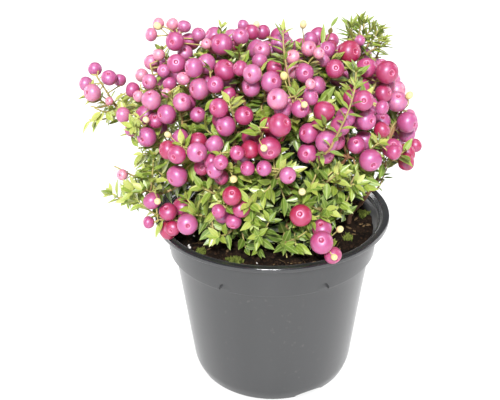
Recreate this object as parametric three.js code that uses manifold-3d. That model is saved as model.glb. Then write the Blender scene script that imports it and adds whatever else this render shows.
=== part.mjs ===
// A prickly heath in a round nursery pot: millimetres, +Z up, origin at the middle of the pot's foot,
// -Y the side that faces the viewer.

import * as THREE from 'three';
import { mergeVertices } from 'three/addons/utils/BufferGeometryUtils.js';
import Module from 'manifold-3d';

const wasm = await Module();
wasm.setup();

// Driving dimensions of the pot
const RIM_RADIUS = 60;
const POT_HEIGHT = 91.2;
const LIP_TOP_INNER_RADIUS = 56.7;
const LIP_UNDERSIDE = 88.9;
const COLLAR_TOP_RADIUS = 54.5;
const COLLAR_LOW_RADIUS = 53.7;
const COLLAR_LOW_HEIGHT = 71.9;
const BODY_TOP_RADIUS = 51.2;
const BODY_LOW_RADIUS = 43.6;
const BODY_LOW_HEIGHT = 4.6;
const FOOT_RADIUS = 42;
const FLOOR_THICKNESS = 3.6;
const INNER_STEP_HEIGHT = 77;
const INNER_BODY_RADIUS = 50;
const INNER_FLOOR_RADIUS = 42.2;
const INNER_COLLAR_RADIUS = 52.6;
const INNER_LIP_RADIUS = 53.2;
const INNER_LIP_DEPTH = 6.2;
const LIP_EDGE = 0.6;
const COLLAR_EDGE = 0.3;
const INNER_STEP_SLOPE = 0.8;
const FOOT_EDGE = 0.4;
const FOOT_EDGE_HEIGHT = 1.6;
const POT_SIDES = 36;
const NOTCH_COUNT = 7;
const NOTCH_WIDTH = 6;
const NOTCH_HEIGHT = 4;
const NOTCH_FLOOR_RADIUS = 51.5;
const NOTCH_SIDES = 6;
const NOTCH_PHASE = 26.9;
const DRAIN_COUNT = 4;
const DRAIN_WIDTH = 16;
const DRAIN_HEIGHT = 2.4;
const DRAIN_START = 14;
const DRAIN_PHASE = 27;
const DRAIN_SIDES = 10;
const DRAIN_HOLE_RADIUS = 4;
const DRAIN_HOLE_SIDES = 8;
const DRAIN_HOLE_PLACE = 29;

// Driving dimensions of the soil
const SOIL_TOP = 84.4;
const SOIL_RELIEF = 1.1;
const SOIL_GAP = 0.3;
const SOIL_EDGE = 1;
const SOIL_SIDES = 24;
const SOIL_RINGS = [44, 31, 17];
const STEM_HOLE_BOTTOM = 70;
const STEM_HOLE_SIDES = 6;
const STEM_HOLE_GAP = 0.7;
const STEM_SINK = 71;

// Driving dimensions of the plant
const STEM_RADIUS = 1.3;
const STEM_TIP_RADIUS = 0.7;
const STEM_LEAN = 1.25;
const STEM_KNEE = 0.55;
const STEM_SIDES = 4;
const STEM_STEPS = 5;
const STEM_BENDS = [0, 0.2, -0.2, 0.4, -0.4, 0.6, -0.6];
const TWIG_RADIUS = 0.6;
const TWIG_TIP_RADIUS = 0.42;
const TWIG_SIDES = 3;
const TWIG_WAYS = 17;
const TWIG_BOW = 4;
const TWIG_TOP = 183;
const BUNCH_TWIG_STRAIGHT = 9;
const BUNCH_TWIG_REACH = [4, 13];
const SHOOT_REACH = 9;
const STALK_RADIUS = 0.42;
const CLEARANCE = 0.35;
const BUNCH_RING = 1.15;
const BERRY_SIDES = 5;
const BERRY_OUTLINE = [[0, -0.92], [0.8, -0.56], [1, 0.2], [0.45, 0.88], [0, 0.72]];
const BERRY_SINK = 1.5;
const BERRY_RISE = 2.4;
const BERRIES_IN_CHAIN = 3;
const LEAF_WIDEST = 0.42;
const LEAF_LENGTH = 10;
const LEAF_WIDTH = 4.2;
const LEAF_KEEL = 0.8;
const LEAF_OPENING = [0.95, 0.6];

// Where each stem leaves the soil (x, y) and where its leader ends (x, y, z)
const STEMS = [
  { name: 'stem_left', root: [-22, -6], tip: [-66, -10, 136] },
  { name: 'stem_left_front', root: [-17, -15], tip: [-44, -28, 132] },
  { name: 'stem_front_left', root: [-7, -22], tip: [-18, -40, 130] },
  { name: 'stem_front_right', root: [8, -22], tip: [5, -42, 130] },
  { name: 'stem_right_front', root: [19, -14], tip: [34, -34, 134] },
  { name: 'stem_right', root: [26, -3], tip: [54, -17, 132] },
  { name: 'stem_top_left', root: [-14, 2], tip: [-44, -5, 154] },
  { name: 'stem_top_middle', root: [-5, -9], tip: [-13, -18, 158] },
  { name: 'stem_top_right', root: [8, -8], tip: [13, -20, 156] },
  { name: 'stem_right_top', root: [16, 6], tip: [38, -4, 154] },
  { name: 'stem_back_left', root: [-14, 15], tip: [-42, 24, 146] },
  { name: 'stem_back', root: [0, 12], tip: [0, 34, 150] },
  { name: 'stem_back_right', root: [14, 18], tip: [38, 26, 146] },
  { name: 'stem_low_right', root: [40, -5], tip: [62, 10, 118] },
];

// The middle of each bunch of berries, the stem that bears it, its berries' radius and how ripe they are
const BUNCHES = [
  { name: 'berries_left_far', stem: 'stem_left', at: [-80, -6, 160], size: 4, ripe: 0.4 },
  { name: 'berries_top_left', stem: 'stem_top_left', at: [-43, -3, 177], size: 4.2, ripe: 0.4 },
  { name: 'berries_left_shoulder', stem: 'stem_top_left', at: [-54, -12, 166], size: 4.1, ripe: 0.35 },
  { name: 'berries_left_upper', stem: 'stem_left_front', at: [-43, -29, 157], size: 4.3, ripe: 0.5 },
  { name: 'berries_left_middle', stem: 'stem_left_front', at: [-57, -27, 146], size: 4.3, ripe: 0.4 },
  { name: 'berries_left_front', stem: 'stem_left_front', at: [-37, -41, 140], size: 4.6, ripe: 0.6 },
  { name: 'berries_top_middle_left', stem: 'stem_top_middle', at: [-19, -9, 178], size: 4.5, ripe: 0.6 },
  { name: 'berries_upper_left', stem: 'stem_top_middle', at: [-26, -27, 168], size: 4.4, ripe: 0.5 },
  { name: 'berries_top_middle', stem: 'stem_top_middle', at: [-1, -14, 179], size: 4.2, ripe: 0.5 },
  { name: 'berries_upper_front_left', stem: 'stem_front_left', at: [-17, -39, 157], size: 4.3, ripe: 0.6 },
  { name: 'berries_front_middle', stem: 'stem_front_right', at: [-4, -47, 149], size: 4.9, ripe: 0.9 },
  { name: 'berries_front_left', stem: 'stem_front_left', at: [-20, -48, 138], size: 4.3, ripe: 0.5 },
  { name: 'berries_top_middle_right', stem: 'stem_top_right', at: [16, -8, 179], size: 4.1, ripe: 0.4 },
  { name: 'berries_top_right', stem: 'stem_right_top', at: [33, -7, 173], size: 4.9, ripe: 0.7 },
  { name: 'berries_upper_right', stem: 'stem_top_right', at: [15, -26, 170], size: 4.2, ripe: 0.3 },
  { name: 'berries_upper_middle', stem: 'stem_top_middle', at: [-4, -32, 168], size: 4.3, ripe: 0.5 },
  { name: 'berries_upper_front_right', stem: 'stem_top_right', at: [10, -40, 160], size: 4.2, ripe: 0.4 },
  { name: 'berries_front_right', stem: 'stem_right_front', at: [22, -44, 149], size: 4.3, ripe: 0.6 },
  { name: 'berries_right_shoulder', stem: 'stem_right_top', at: [47, -19, 166], size: 4.6, ripe: 0.6 },
  { name: 'berries_right_top', stem: 'stem_right', at: [54, -4, 160], size: 4.1, ripe: 0.4 },
  { name: 'berries_right_upper', stem: 'stem_right_front', at: [38, -33, 157], size: 4.3, ripe: 0.5 },
  { name: 'berries_right_outer', stem: 'stem_right', at: [62, -13, 147], size: 4.3, ripe: 0.5 },
  { name: 'berries_right_lower', stem: 'stem_right', at: [58, -27, 132], size: 4.6, ripe: 0.8 },
  { name: 'berries_right_front', stem: 'stem_right_front', at: [44, -36, 139], size: 4.5, ripe: 0.8 },
  { name: 'berries_front_low_middle', stem: 'stem_front_right', at: [3, -50, 134], size: 4.3, ripe: 0.5 },
  { name: 'berries_low_front_left', stem: 'stem_front_left', at: [-18, -46, 115], size: 4.4, ripe: 0.8 },
  {
    name: 'berries_low_front_right', stem: 'stem_front_right', at: [13, -46, 111],
    size: 4.9, ripe: 1, most: 1,
  },
  { name: 'berries_over_rim', stem: 'stem_front_right', at: [24, -47, 98], size: 4.7, ripe: 0.9 },
  { name: 'berries_low_left', stem: 'stem_left_front', at: [-49, -35, 103], size: 4.3, ripe: 0.7 },
  { name: 'berries_left_pale', stem: 'stem_left', at: [-72, -12, 118], size: 3.4, ripe: 0.1, most: 1 },
  { name: 'berries_right_side', stem: 'stem_low_right', at: [65, 8, 137], size: 4.3, ripe: 0.6 },
  { name: 'berries_back_top', stem: 'stem_back', at: [1, 9, 179], size: 4.3, ripe: 0.5 },
  { name: 'berries_back_top_left', stem: 'stem_back_left', at: [-23, 14, 176], size: 4.3, ripe: 0.4 },
  { name: 'berries_back_top_right', stem: 'stem_back_right', at: [28, 15, 175], size: 4.3, ripe: 0.6 },
  { name: 'berries_back_left_shoulder', stem: 'stem_back_left', at: [-51, 14, 163], size: 4.2, ripe: 0.4 },
  { name: 'berries_back_upper_left', stem: 'stem_back', at: [-16, 36, 166], size: 4.4, ripe: 0.6 },
  { name: 'berries_back_upper_right', stem: 'stem_back', at: [14, 37, 166], size: 4.3, ripe: 0.5 },
  { name: 'berries_back_right_shoulder', stem: 'stem_back_right', at: [50, 20, 160], size: 4.3, ripe: 0.5 },
  { name: 'berries_back_left', stem: 'stem_back_left', at: [-56, 29, 141], size: 4.4, ripe: 0.6 },
  { name: 'berries_back_middle_left', stem: 'stem_back', at: [-17, 54, 140], size: 4.5, ripe: 0.7 },
  { name: 'berries_back_middle_right', stem: 'stem_back', at: [17, 54, 141], size: 4.3, ripe: 0.4 },
  { name: 'berries_back_right', stem: 'stem_back_right', at: [48, 37, 141], size: 4.4, ripe: 0.6 },
  {
    name: 'berries_back_low_left', stem: 'stem_back_left', at: [-40, 46, 116], size: 4.4, ripe: 0.7, most: 2,
  },
  {
    name: 'berries_back_low_right', stem: 'stem_back_right', at: [35, 48, 116], size: 4.3, ripe: 0.6, most: 2,
  },
];

// The tips of the leafy shoots that bear no berries
const SHOOTS = [
  {
    stem: 'stem_left',
    tips: [[-85, -9, 141], [-80, -8, 103], [-76, -12, 128], [-70, 10, 126], [-64, -22, 113]],
  },
  { stem: 'stem_left_front', tips: [[-58, -34, 118], [-34, -44, 110], [-30, -49, 126]] },
  { stem: 'stem_front_left', tips: [[-24, -46, 100], [-6, -47, 101], [-10, -52, 120]] },
  { stem: 'stem_front_right', tips: [[6, -48, 97], [16, -50, 122], [24, -46, 114]] },
  { stem: 'stem_right_front', tips: [[33, -38, 107], [37, -39, 123], [40, -32, 172], [29, -47, 132]] },
  { stem: 'stem_right', tips: [[66, -7, 156], [46, -23, 113], [56, -14, 113]] },
  { stem: 'stem_top_left', tips: [[-31, -14, 177], [-62, 6, 156], [-33, 6, 182]] },
  { stem: 'stem_top_middle', tips: [[-11, 4, 184], [-14, -24, 180]] },
  { stem: 'stem_top_right', tips: [[6, -26, 184], [25, -2, 183], [26, -22, 174]] },
  { stem: 'stem_right_top', tips: [[43, 6, 184], [50, 4, 178], [38, 11, 181]] },
  { stem: 'stem_back_left', tips: [[-40, 28, 166], [-66, 12, 146], [-60, 34, 120], [-34, 50, 132]] },
  { stem: 'stem_back', tips: [[-1, 26, 181], [0, 50, 155], [0, 60, 124], [-20, 52, 112]] },
  { stem: 'stem_back_right', tips: [[20, 28, 178], [34, 44, 158], [62, 26, 144], [52, 40, 118]] },
  { stem: 'stem_low_right', tips: [[64, -6, 122], [63, 18, 116]] },
];

const UP = new THREE.Vector3(0, 0, 1);

const COLOURS = {
  pot: 0x39393c,
  soil: 0x2b1d14,
  leaf: 0x5c8427,
  bark: 0x6d4a33,
  pale: 0xe39ab8,
  ripe: 0xc4326a,
};

// Draws a number from 0 to 1 that depends only on what it is for
function chance(a, b, c = 0) {
  const wave = Math.sin(a * 12.9898 + b * 78.233 + c * 37.719) * 43758.5453;
  return wave - Math.floor(wave);
}

function vector(place) {
  return new THREE.Vector3(...place);
}

function lerp(from, to, share) {
  return from + (to - from) * share;
}

// Closed solids and back again
function solid(geometry) {
  const bare = geometry.clone();
  bare.deleteAttribute('normal');
  bare.deleteAttribute('uv');
  const merged = mergeVertices(bare, 1e-4);
  return new wasm.Manifold(new wasm.Mesh({
    numProp: 3,
    vertProperties: new Float32Array(merged.attributes.position.array),
    triVerts: new Uint32Array(merged.index.array),
  }));
}

function mesh(name, body, colour, roughness) {
  const cut = body.getMesh();
  const geometry = new THREE.BufferGeometry();
  geometry.setAttribute('position', new THREE.BufferAttribute(new Float32Array(cut.vertProperties), 3));
  geometry.setIndex(new THREE.BufferAttribute(new Uint32Array(cut.triVerts), 1));
  geometry.computeVertexNormals();
  const material = new THREE.MeshStandardMaterial({ color: colour, roughness, metalness: 0 });
  const piece = new THREE.Mesh(geometry, material);
  piece.name = name;
  return piece;
}

function fused(geometries) {
  return geometries.map(solid).reduce((whole, next) => whole.add(next));
}

function upright(geometry) {
  return geometry.rotateX(Math.PI / 2);
}

// The pot: one moulded plastic wall with a collar, a flat lip, collar notches and a drained foot
function pot() {
  const profile = [
    [0, 0],
    [FOOT_RADIUS, 0],
    [BODY_LOW_RADIUS - FOOT_EDGE, FOOT_EDGE_HEIGHT],
    [BODY_LOW_RADIUS, BODY_LOW_HEIGHT],
    [BODY_TOP_RADIUS, COLLAR_LOW_HEIGHT - COLLAR_EDGE],
    [COLLAR_LOW_RADIUS, COLLAR_LOW_HEIGHT],
    [COLLAR_TOP_RADIUS, LIP_UNDERSIDE],
    [RIM_RADIUS, LIP_UNDERSIDE],
    [RIM_RADIUS, POT_HEIGHT - LIP_EDGE],
    [RIM_RADIUS - LIP_EDGE, POT_HEIGHT],
    [LIP_TOP_INNER_RADIUS, POT_HEIGHT],
    [INNER_LIP_RADIUS, POT_HEIGHT - INNER_LIP_DEPTH],
    [INNER_COLLAR_RADIUS, INNER_STEP_HEIGHT + INNER_STEP_SLOPE],
    [INNER_BODY_RADIUS, INNER_STEP_HEIGHT],
    [INNER_FLOOR_RADIUS, FLOOR_THICKNESS],
    [0, FLOOR_THICKNESS],
  ];
  const points = profile.map(([r, z]) => new THREE.Vector2(r, z));
  let body = solid(upright(new THREE.LatheGeometry(points, POT_SIDES)));
  for (let i = 0; i < NOTCH_COUNT; i += 1) {
    body = body.subtract(solid(notch(NOTCH_PHASE + (360 / NOTCH_COUNT) * i)));
  }
  for (let i = 0; i < DRAIN_COUNT; i += 1) {
    const turn = DRAIN_PHASE + (360 / DRAIN_COUNT) * i;
    body = body.subtract(solid(drainArch(turn)));
    body = body.subtract(solid(drainHole(turn)));
  }
  return mesh('pot', body, COLOURS.pot, 0.35);
}

// Turns a shape that faces the viewer round the pot, in degrees towards +X
function turned(geometry, degrees) {
  return geometry.rotateZ(THREE.MathUtils.degToRad(degrees));
}

function notch(degrees) {
  const half = NOTCH_WIDTH / 2;
  const arch = new THREE.Shape();
  arch.moveTo(-half, -1);
  arch.lineTo(half, -1);
  arch.lineTo(half, NOTCH_HEIGHT - half);
  arch.absarc(0, NOTCH_HEIGHT - half, half, 0, Math.PI, false);
  arch.closePath();
  const depth = RIM_RADIUS - NOTCH_FLOOR_RADIUS;
  const cutter = new THREE.ExtrudeGeometry(arch, { depth, bevelEnabled: false, curveSegments: NOTCH_SIDES });
  upright(cutter).translate(0, -NOTCH_FLOOR_RADIUS, COLLAR_LOW_HEIGHT);
  return turned(cutter, degrees);
}

function drainArch(degrees) {
  const length = RIM_RADIUS - DRAIN_START;
  const cutter = new THREE.CylinderGeometry(DRAIN_WIDTH / 2, DRAIN_WIDTH / 2, length, DRAIN_SIDES);
  cutter.scale(1, 1, DRAIN_HEIGHT / (DRAIN_WIDTH / 2));
  cutter.translate(0, -(DRAIN_START + length / 2), 0);
  return turned(cutter, degrees);
}

function drainHole(degrees) {
  const height = 3 * FLOOR_THICKNESS;
  const cutter = new THREE.CylinderGeometry(DRAIN_HOLE_RADIUS, DRAIN_HOLE_RADIUS, height, DRAIN_HOLE_SIDES);
  upright(cutter).translate(0, -DRAIN_HOLE_PLACE, 0);
  return turned(cutter, degrees);
}

// The soil: a plug of peat that follows the pot's inner wall, with a lumpy top
function soilHeight(x, y) {
  const broad = Math.sin(x * 0.17 + 1.1) * Math.cos(y * 0.14 - 0.4);
  const lumps = Math.sin(x * 0.43 + y * 0.29) * Math.cos(y * 0.47 - x * 0.21);
  return SOIL_TOP + SOIL_RELIEF * (0.6 * broad + 0.5 * lumps);
}

function soil() {
  const step = INNER_STEP_HEIGHT + INNER_STEP_SLOPE - SOIL_GAP;
  const profile = [
    [0, FLOOR_THICKNESS + SOIL_GAP],
    [INNER_FLOOR_RADIUS - SOIL_GAP, FLOOR_THICKNESS + SOIL_GAP],
    [INNER_BODY_RADIUS - SOIL_GAP, INNER_STEP_HEIGHT],
    [INNER_COLLAR_RADIUS - 2 * SOIL_GAP, step + SOIL_EDGE],
    [INNER_COLLAR_RADIUS - SOIL_GAP, SOIL_TOP - SOIL_EDGE],
  ];
  SOIL_RINGS.forEach((radius) => profile.push([radius, SOIL_TOP]));
  profile.push([0, SOIL_TOP]);
  const geometry = upright(
    new THREE.LatheGeometry(profile.map(([r, z]) => new THREE.Vector2(r, z)), SOIL_SIDES),
  );
  const places = geometry.attributes.position;
  for (let i = 0; i < places.count; i += 1) {
    if (places.getZ(i) > SOIL_TOP - SOIL_EDGE / 2) {
      places.setZ(i, soilHeight(places.getX(i), places.getY(i)));
    }
  }
  let body = solid(geometry);
  for (const stem of STEMS) {
    const height = POT_HEIGHT - STEM_HOLE_BOTTOM;
    const radius = STEM_RADIUS + STEM_HOLE_GAP;
    const hole = upright(new THREE.CylinderGeometry(radius, radius, height, STEM_HOLE_SIDES));
    hole.translate(stem.root[0], stem.root[1], STEM_HOLE_BOTTOM + height / 2);
    body = body.subtract(solid(hole));
  }
  return mesh('soil', body, COLOURS.soil, 0.95);
}

// Keeps what has been placed, as balls that belong to a piece, and says whether new balls are clear of it
const placed = [];

function claim(balls, owner) {
  balls.forEach((ball) => placed.push({ ...ball, owner }));
}

function isClear(balls, owner, gap = CLEARANCE) {
  return balls.every((ball) => placed.every((other) => {
    if (other.owner === owner) {
      return true;
    }
    const reach = ball.radius + other.radius + gap;
    const dx = ball.at.x - other.at.x;
    const dy = ball.at.y - other.at.y;
    const dz = ball.at.z - other.at.z;
    return dx * dx + dy * dy + dz * dz >= reach * reach;
  }));
}

function ballsAlong(path, radius) {
  const balls = [];
  for (let i = 1; i < path.length; i += 1) {
    const count = Math.max(1, Math.ceil(path[i].distanceTo(path[i - 1]) / 1.2));
    for (let j = 0; j < count; j += 1) {
      balls.push({ at: path[i - 1].clone().lerp(path[i], j / count), radius });
    }
  }
  balls.push({ at: path[path.length - 1].clone(), radius });
  return balls;
}

// The two directions square to each stretch of a path, without a twist from one to the next
function framesOf(path) {
  const last = path.length - 1;
  const sideways = path[last].clone().sub(path[0]).cross(UP);
  if (sideways.length() < 0.5) {
    sideways.set(1, 0, 0);
  }
  return (along) => {
    const across = sideways.clone().addScaledVector(along, -sideways.dot(along)).normalize();
    return [across, across.clone().cross(along)];
  };
}

// A tapering branch through the points of a path
function branch(path, radiusAt, sides) {
  const last = path.length - 1;
  const outline = [new THREE.Vector2(0, 0)];
  for (let row = 0; row <= last; row += 1) {
    outline.push(new THREE.Vector2(radiusAt(row / last), row));
  }
  outline.push(new THREE.Vector2(0, last));
  const geometry = new THREE.LatheGeometry(outline, sides);
  const frame = framesOf(path);
  const rows = path.map((point, row) => {
    const along = path[Math.min(row + 1, last)].clone().sub(path[Math.max(row - 1, 0)]).normalize();
    const [across, other] = frame(along);
    return { point, across, other };
  });
  const places = geometry.attributes.position;
  for (let i = 0; i < places.count; i += 1) {
    const row = rows[Math.round(places.getY(i))];
    const place = row.point.clone();
    place.addScaledVector(row.across, places.getX(i)).addScaledVector(row.other, places.getZ(i));
    places.setXYZ(i, place.x, place.y, place.z);
  }
  return geometry;
}

// A pointed leaf with a flat face and a keel behind, its root sunk in the branch
function leaf(root, along, face, length, width) {
  const geometry = new THREE.SphereGeometry(1, 3, 2);
  const side = face.clone().cross(along);
  const places = geometry.attributes.position;
  for (let i = 0; i < places.count; i += 1) {
    const end = Math.round(places.getY(i));
    const share = end === 0 ? LEAF_WIDEST : (1 - end) / 2;
    const keel = end === 0 && places.getX(i) < -0.9;
    const across = end === 0 ? Math.sign(Math.round(places.getZ(i))) : 0;
    const place = root.clone().addScaledVector(along, share * length);
    place.addScaledVector(side, (-across * width) / 2).addScaledVector(face, keel ? -LEAF_KEEL : 0);
    places.setXYZ(i, place.x, place.y, place.z);
  }
  return geometry;
}

function leafBalls(root, along, length, width) {
  return [0.26, 0.44, 0.62, 0.82, 1].map((share, i) => ({
    at: root.clone().addScaledVector(along, share * length),
    radius: width * [0.46, 0.5, 0.44, 0.26, 0.05][i],
  }));
}

// A round berry, flatter along its stalk, with the ring and pit where the flower was
function berry(at, axis, radius) {
  const points = BERRY_OUTLINE.map(([r, y]) => new THREE.Vector2(r * radius, y * radius));
  const geometry = new THREE.LatheGeometry(points, BERRY_SIDES);
  geometry.applyQuaternion(new THREE.Quaternion().setFromUnitVectors(new THREE.Vector3(0, 1, 0), axis));
  return geometry.translate(at.x, at.y, at.z);
}

// The way a twig points where it bears its berries: outward low down, upward near the top
function twigAxis(at, seed) {
  const outward = new THREE.Vector3(at.x, at.y, 0).normalize();
  const lift = THREE.MathUtils.clamp((at.z - 95) / 80, 0, 1);
  const axis = outward.multiplyScalar(1.15 - lift).addScaledVector(UP, 0.15 + lift);
  axis.x += 0.3 * (chance(seed, 1) - 0.5);
  axis.y += 0.3 * (chance(seed, 2) - 0.5);
  return axis.normalize();
}

// The direction at an angle round from one direction towards another square to it
function around(first, second, turn) {
  return first.clone().multiplyScalar(Math.cos(turn)).addScaledVector(second, Math.sin(turn));
}

function squareTo(axis) {
  const first = new THREE.Vector3(0, 0, 1).cross(axis);
  if (first.length() < 0.1) {
    first.set(1, 0, 0).cross(axis);
  }
  first.normalize();
  return [first, axis.clone().cross(first)];
}

// Places a bunch's berries one by one up and down a helix round its twig, each touching the last
function makeBunches() {
  const bunches = BUNCHES.map((row, seed) => {
    const at = vector(row.at);
    const axis = twigAxis(at, seed);
    const [first, second] = squareTo(axis);
    const ring = row.size * BUNCH_RING + 2 * TWIG_RADIUS;
    return { ...row, seed, at, axis, first, second, ring, ends: [null, null], berries: [] };
  });
  for (let round = 0; round < BERRIES_IN_CHAIN; round += 1) {
    for (const bunch of bunches) {
      if (round < (bunch.most ?? BERRIES_IN_CHAIN)) {
        growChain(bunch, round);
      }
    }
  }
  return bunches;
}

function growChain(bunch, round) {
  const end = round % 2;
  const last = bunch.ends[end];
  if (last === 'full') {
    return;
  }
  const radius = bunch.size * (0.8 + 0.35 * chance(bunch.seed, round, 3));
  const next = { radius, turn: 2 * Math.PI * chance(bunch.seed, 5), rise: 0 };
  if (last) {
    const reach = last.radius + radius - BERRY_SINK;
    const chord = Math.sqrt(reach * reach - BERRY_RISE * BERRY_RISE);
    const step = 2 * Math.asin(Math.min(1, chord / (2 * bunch.ring)));
    next.turn = last.turn + (end ? -step : step);
    next.rise = last.rise + (end ? -BERRY_RISE : BERRY_RISE);
  }
  const out = around(bunch.first, bunch.second, next.turn);
  next.at = bunch.at.clone().addScaledVector(bunch.axis, next.rise).addScaledVector(out, bunch.ring);
  next.axis = out.addScaledVector(bunch.axis, 0.5 * (chance(bunch.seed, round, 7) - 0.3)).normalize();
  const overRim = Math.hypot(next.at.x, next.at.y) + radius > LIP_TOP_INNER_RADIUS - 4;
  const floor = overRim ? POT_HEIGHT + 0.6 : SOIL_TOP + 2;
  if (next.at.z - radius < floor || !isClear([{ at: next.at, radius }], bunch.name)) {
    bunch.ends[end] = 'full';
    return;
  }
  if (!last) {
    bunch.ends = [next, next];
  } else {
    bunch.ends[end] = next;
  }
  bunch.berries.push(next);
  claim([{ at: next.at, radius }], bunch.name);
}

// A stem rises from its hole and leans out to its tip
function stemPath(stem, bend) {
  const [x, y] = stem.root;
  const tip = vector(stem.tip);
  const knee = new THREE.Vector3(
    x * STEM_LEAN - y * bend,
    y * STEM_LEAN + x * bend,
    lerp(SOIL_TOP, tip.z, STEM_KNEE),
  );
  const curve = new THREE.QuadraticBezierCurve3(new THREE.Vector3(x, y, SOIL_TOP + 4), knee, tip);
  return [new THREE.Vector3(x, y, STEM_SINK), ...curve.getPoints(STEM_STEPS - 1)];
}

// The ways in which a twig can leave its stem and reach a place along an axis, the shortest first
function twigPaths(stem, end, axis, straight, reach) {
  const paths = [];
  const entry = end.clone().addScaledVector(axis, -straight);
  for (let row = 2; row < stem.path.length; row += 1) {
    for (const share of [0, 0.5]) {
      const from = stem.path[row - 1].clone().lerp(stem.path[row], 1 - share);
      for (let k = 0; k < TWIG_WAYS; k += 1) {
        const way = TWIG_BOW * Math.ceil(k / 8);
        const middle = from.clone().lerp(entry, 0.55).addScaledVector(axis, -0.12 * from.distanceTo(entry));
        const [first, second] = squareTo(axis);
        middle.addScaledVector(around(first, second, (k * Math.PI) / 4), way);
        const path = [from, ...(way ? [middle] : []), entry, end.clone().addScaledVector(axis, reach)];
        const turnBack = Math.max(0, from.clone().sub(entry).dot(axis)) * 2;
        const droop = Math.max(0, from.z - entry.z - 4) * 0.5;
        paths.push({ path, cost: from.distanceTo(entry) + way * 0.6 + turnBack + droop });
      }
    }
  }
  return paths.sort((one, two) => one.cost - two.cost).map((choice) => choice.path);
}

// A shoot with no berries may also end a little to one side
function shootPaths(stem, tip, axis) {
  const [first, second] = squareTo(axis);
  return [0, 1, 2, 3, 4, 5, 6].flatMap((k) => {
    const end = tip.clone().addScaledVector(axis, -SHOOT_REACH);
    end.addScaledVector(around(first, second, k), k ? TWIG_BOW : 0);
    return twigPaths(stem, end, axis, 0, SHOOT_REACH);
  });
}

function firstClear(paths, owner) {
  return paths.find((path) => {
    const high = path.slice(1).every(({ x, y, z }) => z > SOIL_TOP + (Math.hypot(x, y) > 50 ? 9 : 3));
    return high && isClear(ballsAlong(path, TWIG_RADIUS), owner);
  });
}

function growTwig(stem, path) {
  stem.parts.push(branch(path, (share) => lerp(TWIG_RADIUS, TWIG_TIP_RADIUS, share), TWIG_SIDES));
  claim(ballsAlong(path, TWIG_RADIUS), stem.name);
  stem.twigs.push(path);
}

function isAbovePot(balls) {
  return balls.every(({ at }) => {
    const overRim = Math.hypot(at.x, at.y) > LIP_TOP_INNER_RADIUS - 8;
    return at.z > (overRim ? POT_HEIGHT + 2 : SOIL_TOP + 3.5);
  });
}

// Leaves stand round the last length of a twig, each a third of a turn from the one before
function growLeaves(stem, path, count, start, seed) {
  const frame = framesOf(path);
  const last = path.length - 1;
  const lengths = path.map((point, i) => (i ? point.distanceTo(path[i - 1]) : 0));
  const whole = lengths.reduce((sum, next) => sum + next, 0);
  for (let i = 0; i < count; i += 1) {
    const share = lerp(start, 0.97, (i + 0.5) / count);
    let left = share * whole;
    let row = 1;
    while (row < last && left > lengths[row]) {
      left -= lengths[row];
      row += 1;
    }
    const along = path[row].clone().sub(path[row - 1]).normalize();
    const root = path[row - 1].clone().addScaledVector(along, left);
    const [across, other] = frame(along);
    const length = LEAF_LENGTH * (0.85 + 0.3 * chance(seed, i, 12));
    const open = lerp(...LEAF_OPENING, share);
    for (let tries = 0; tries < TWIG_SIDES; tries += 1) {
      const turn = (Math.PI / 3) * (1 + 2 * (seed + i + tries));
      const out = around(other, across, turn);
      const way = around(along, out, open);
      const face = around(along, out, open - Math.PI / 2).negate();
      const balls = leafBalls(root, way, length, LEAF_WIDTH);
      if (isAbovePot(balls) && isClear(balls, stem.name)) {
        stem.parts.push(leaf(root, way, face, length, LEAF_WIDTH));
        claim(balls, stem.name);
        break;
      }
    }
  }
}

// A short stalk from the twig to the foot of the bunch's first berry
function growStalk(stem, bunch) {
  const [first] = bunch.berries;
  const foot = first.at.clone().addScaledVector(first.axis, -0.92 * first.radius - 0.3);
  const from = bunch.at.clone().addScaledVector(bunch.axis, -0.8);
  stem.parts.push(branch([from, foot], () => STALK_RADIUS, TWIG_SIDES));
}

function makePlant() {
  const group = new THREE.Group();
  const bunches = makeBunches();
  const stems = STEMS.map((row) => {
    const path = STEM_BENDS.map((bend) => stemPath(row, bend)).find((way) => (
      isClear(ballsAlong(way, STEM_RADIUS), row.name)));
    claim(ballsAlong(path, STEM_RADIUS), row.name);
    const thick = (share) => lerp(STEM_RADIUS, STEM_TIP_RADIUS, share);
    return { ...row, path, twigs: [], parts: [branch(path, thick, STEM_SIDES)] };
  });
  const named = new Map(stems.map((stem) => [stem.name, stem]));
  const twigs = [];
  for (const bunch of bunches) {
    const stem = named.get(bunch.stem);
    const free = (TWIG_TOP - bunch.at.z) / Math.max(0.2, bunch.axis.z);
    const reach = THREE.MathUtils.clamp(free, ...BUNCH_TWIG_REACH);
    const paths = twigPaths(stem, bunch.at, bunch.axis, BUNCH_TWIG_STRAIGHT, reach);
    const path = firstClear(paths, stem.name);
    growTwig(stem, path);
    growStalk(stem, bunch);
    twigs.push({ stem, path, start: 0.4, count: 3, seed: 100 + bunch.seed });
  }
  SHOOTS.forEach((row, i) => row.tips.forEach((tip, j) => {
    const stem = named.get(row.stem);
    const end = vector(tip);
    const axis = twigAxis(end, 300 + 10 * i + j);
    const path = firstClear(shootPaths(stem, end, axis), stem.name);
    growTwig(stem, path);
    twigs.push({ stem, path, start: 0.35, count: 4, seed: 300 + 10 * i + j });
  }));
  twigs.forEach(({ stem, path, start, count, seed }) => growLeaves(stem, path, count, start, seed));
  for (const stem of stems) {
    const colour = stem.name === 'stem_low_right' ? COLOURS.bark : COLOURS.leaf;
    group.add(mesh(stem.name, fused(stem.parts), colour, 0.5));
  }
  for (const bunch of bunches) {
    const parts = bunch.berries.map(({ at, axis, radius }) => berry(at, axis, radius));
    const colour = new THREE.Color(COLOURS.pale).lerp(new THREE.Color(COLOURS.ripe), bunch.ripe);
    group.add(mesh(bunch.name, fused(parts), colour, 0.25));
  }
  return group;
}

const object = new THREE.Group();
object.add(pot());
object.add(soil());
object.add(makePlant());

export default object;
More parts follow.
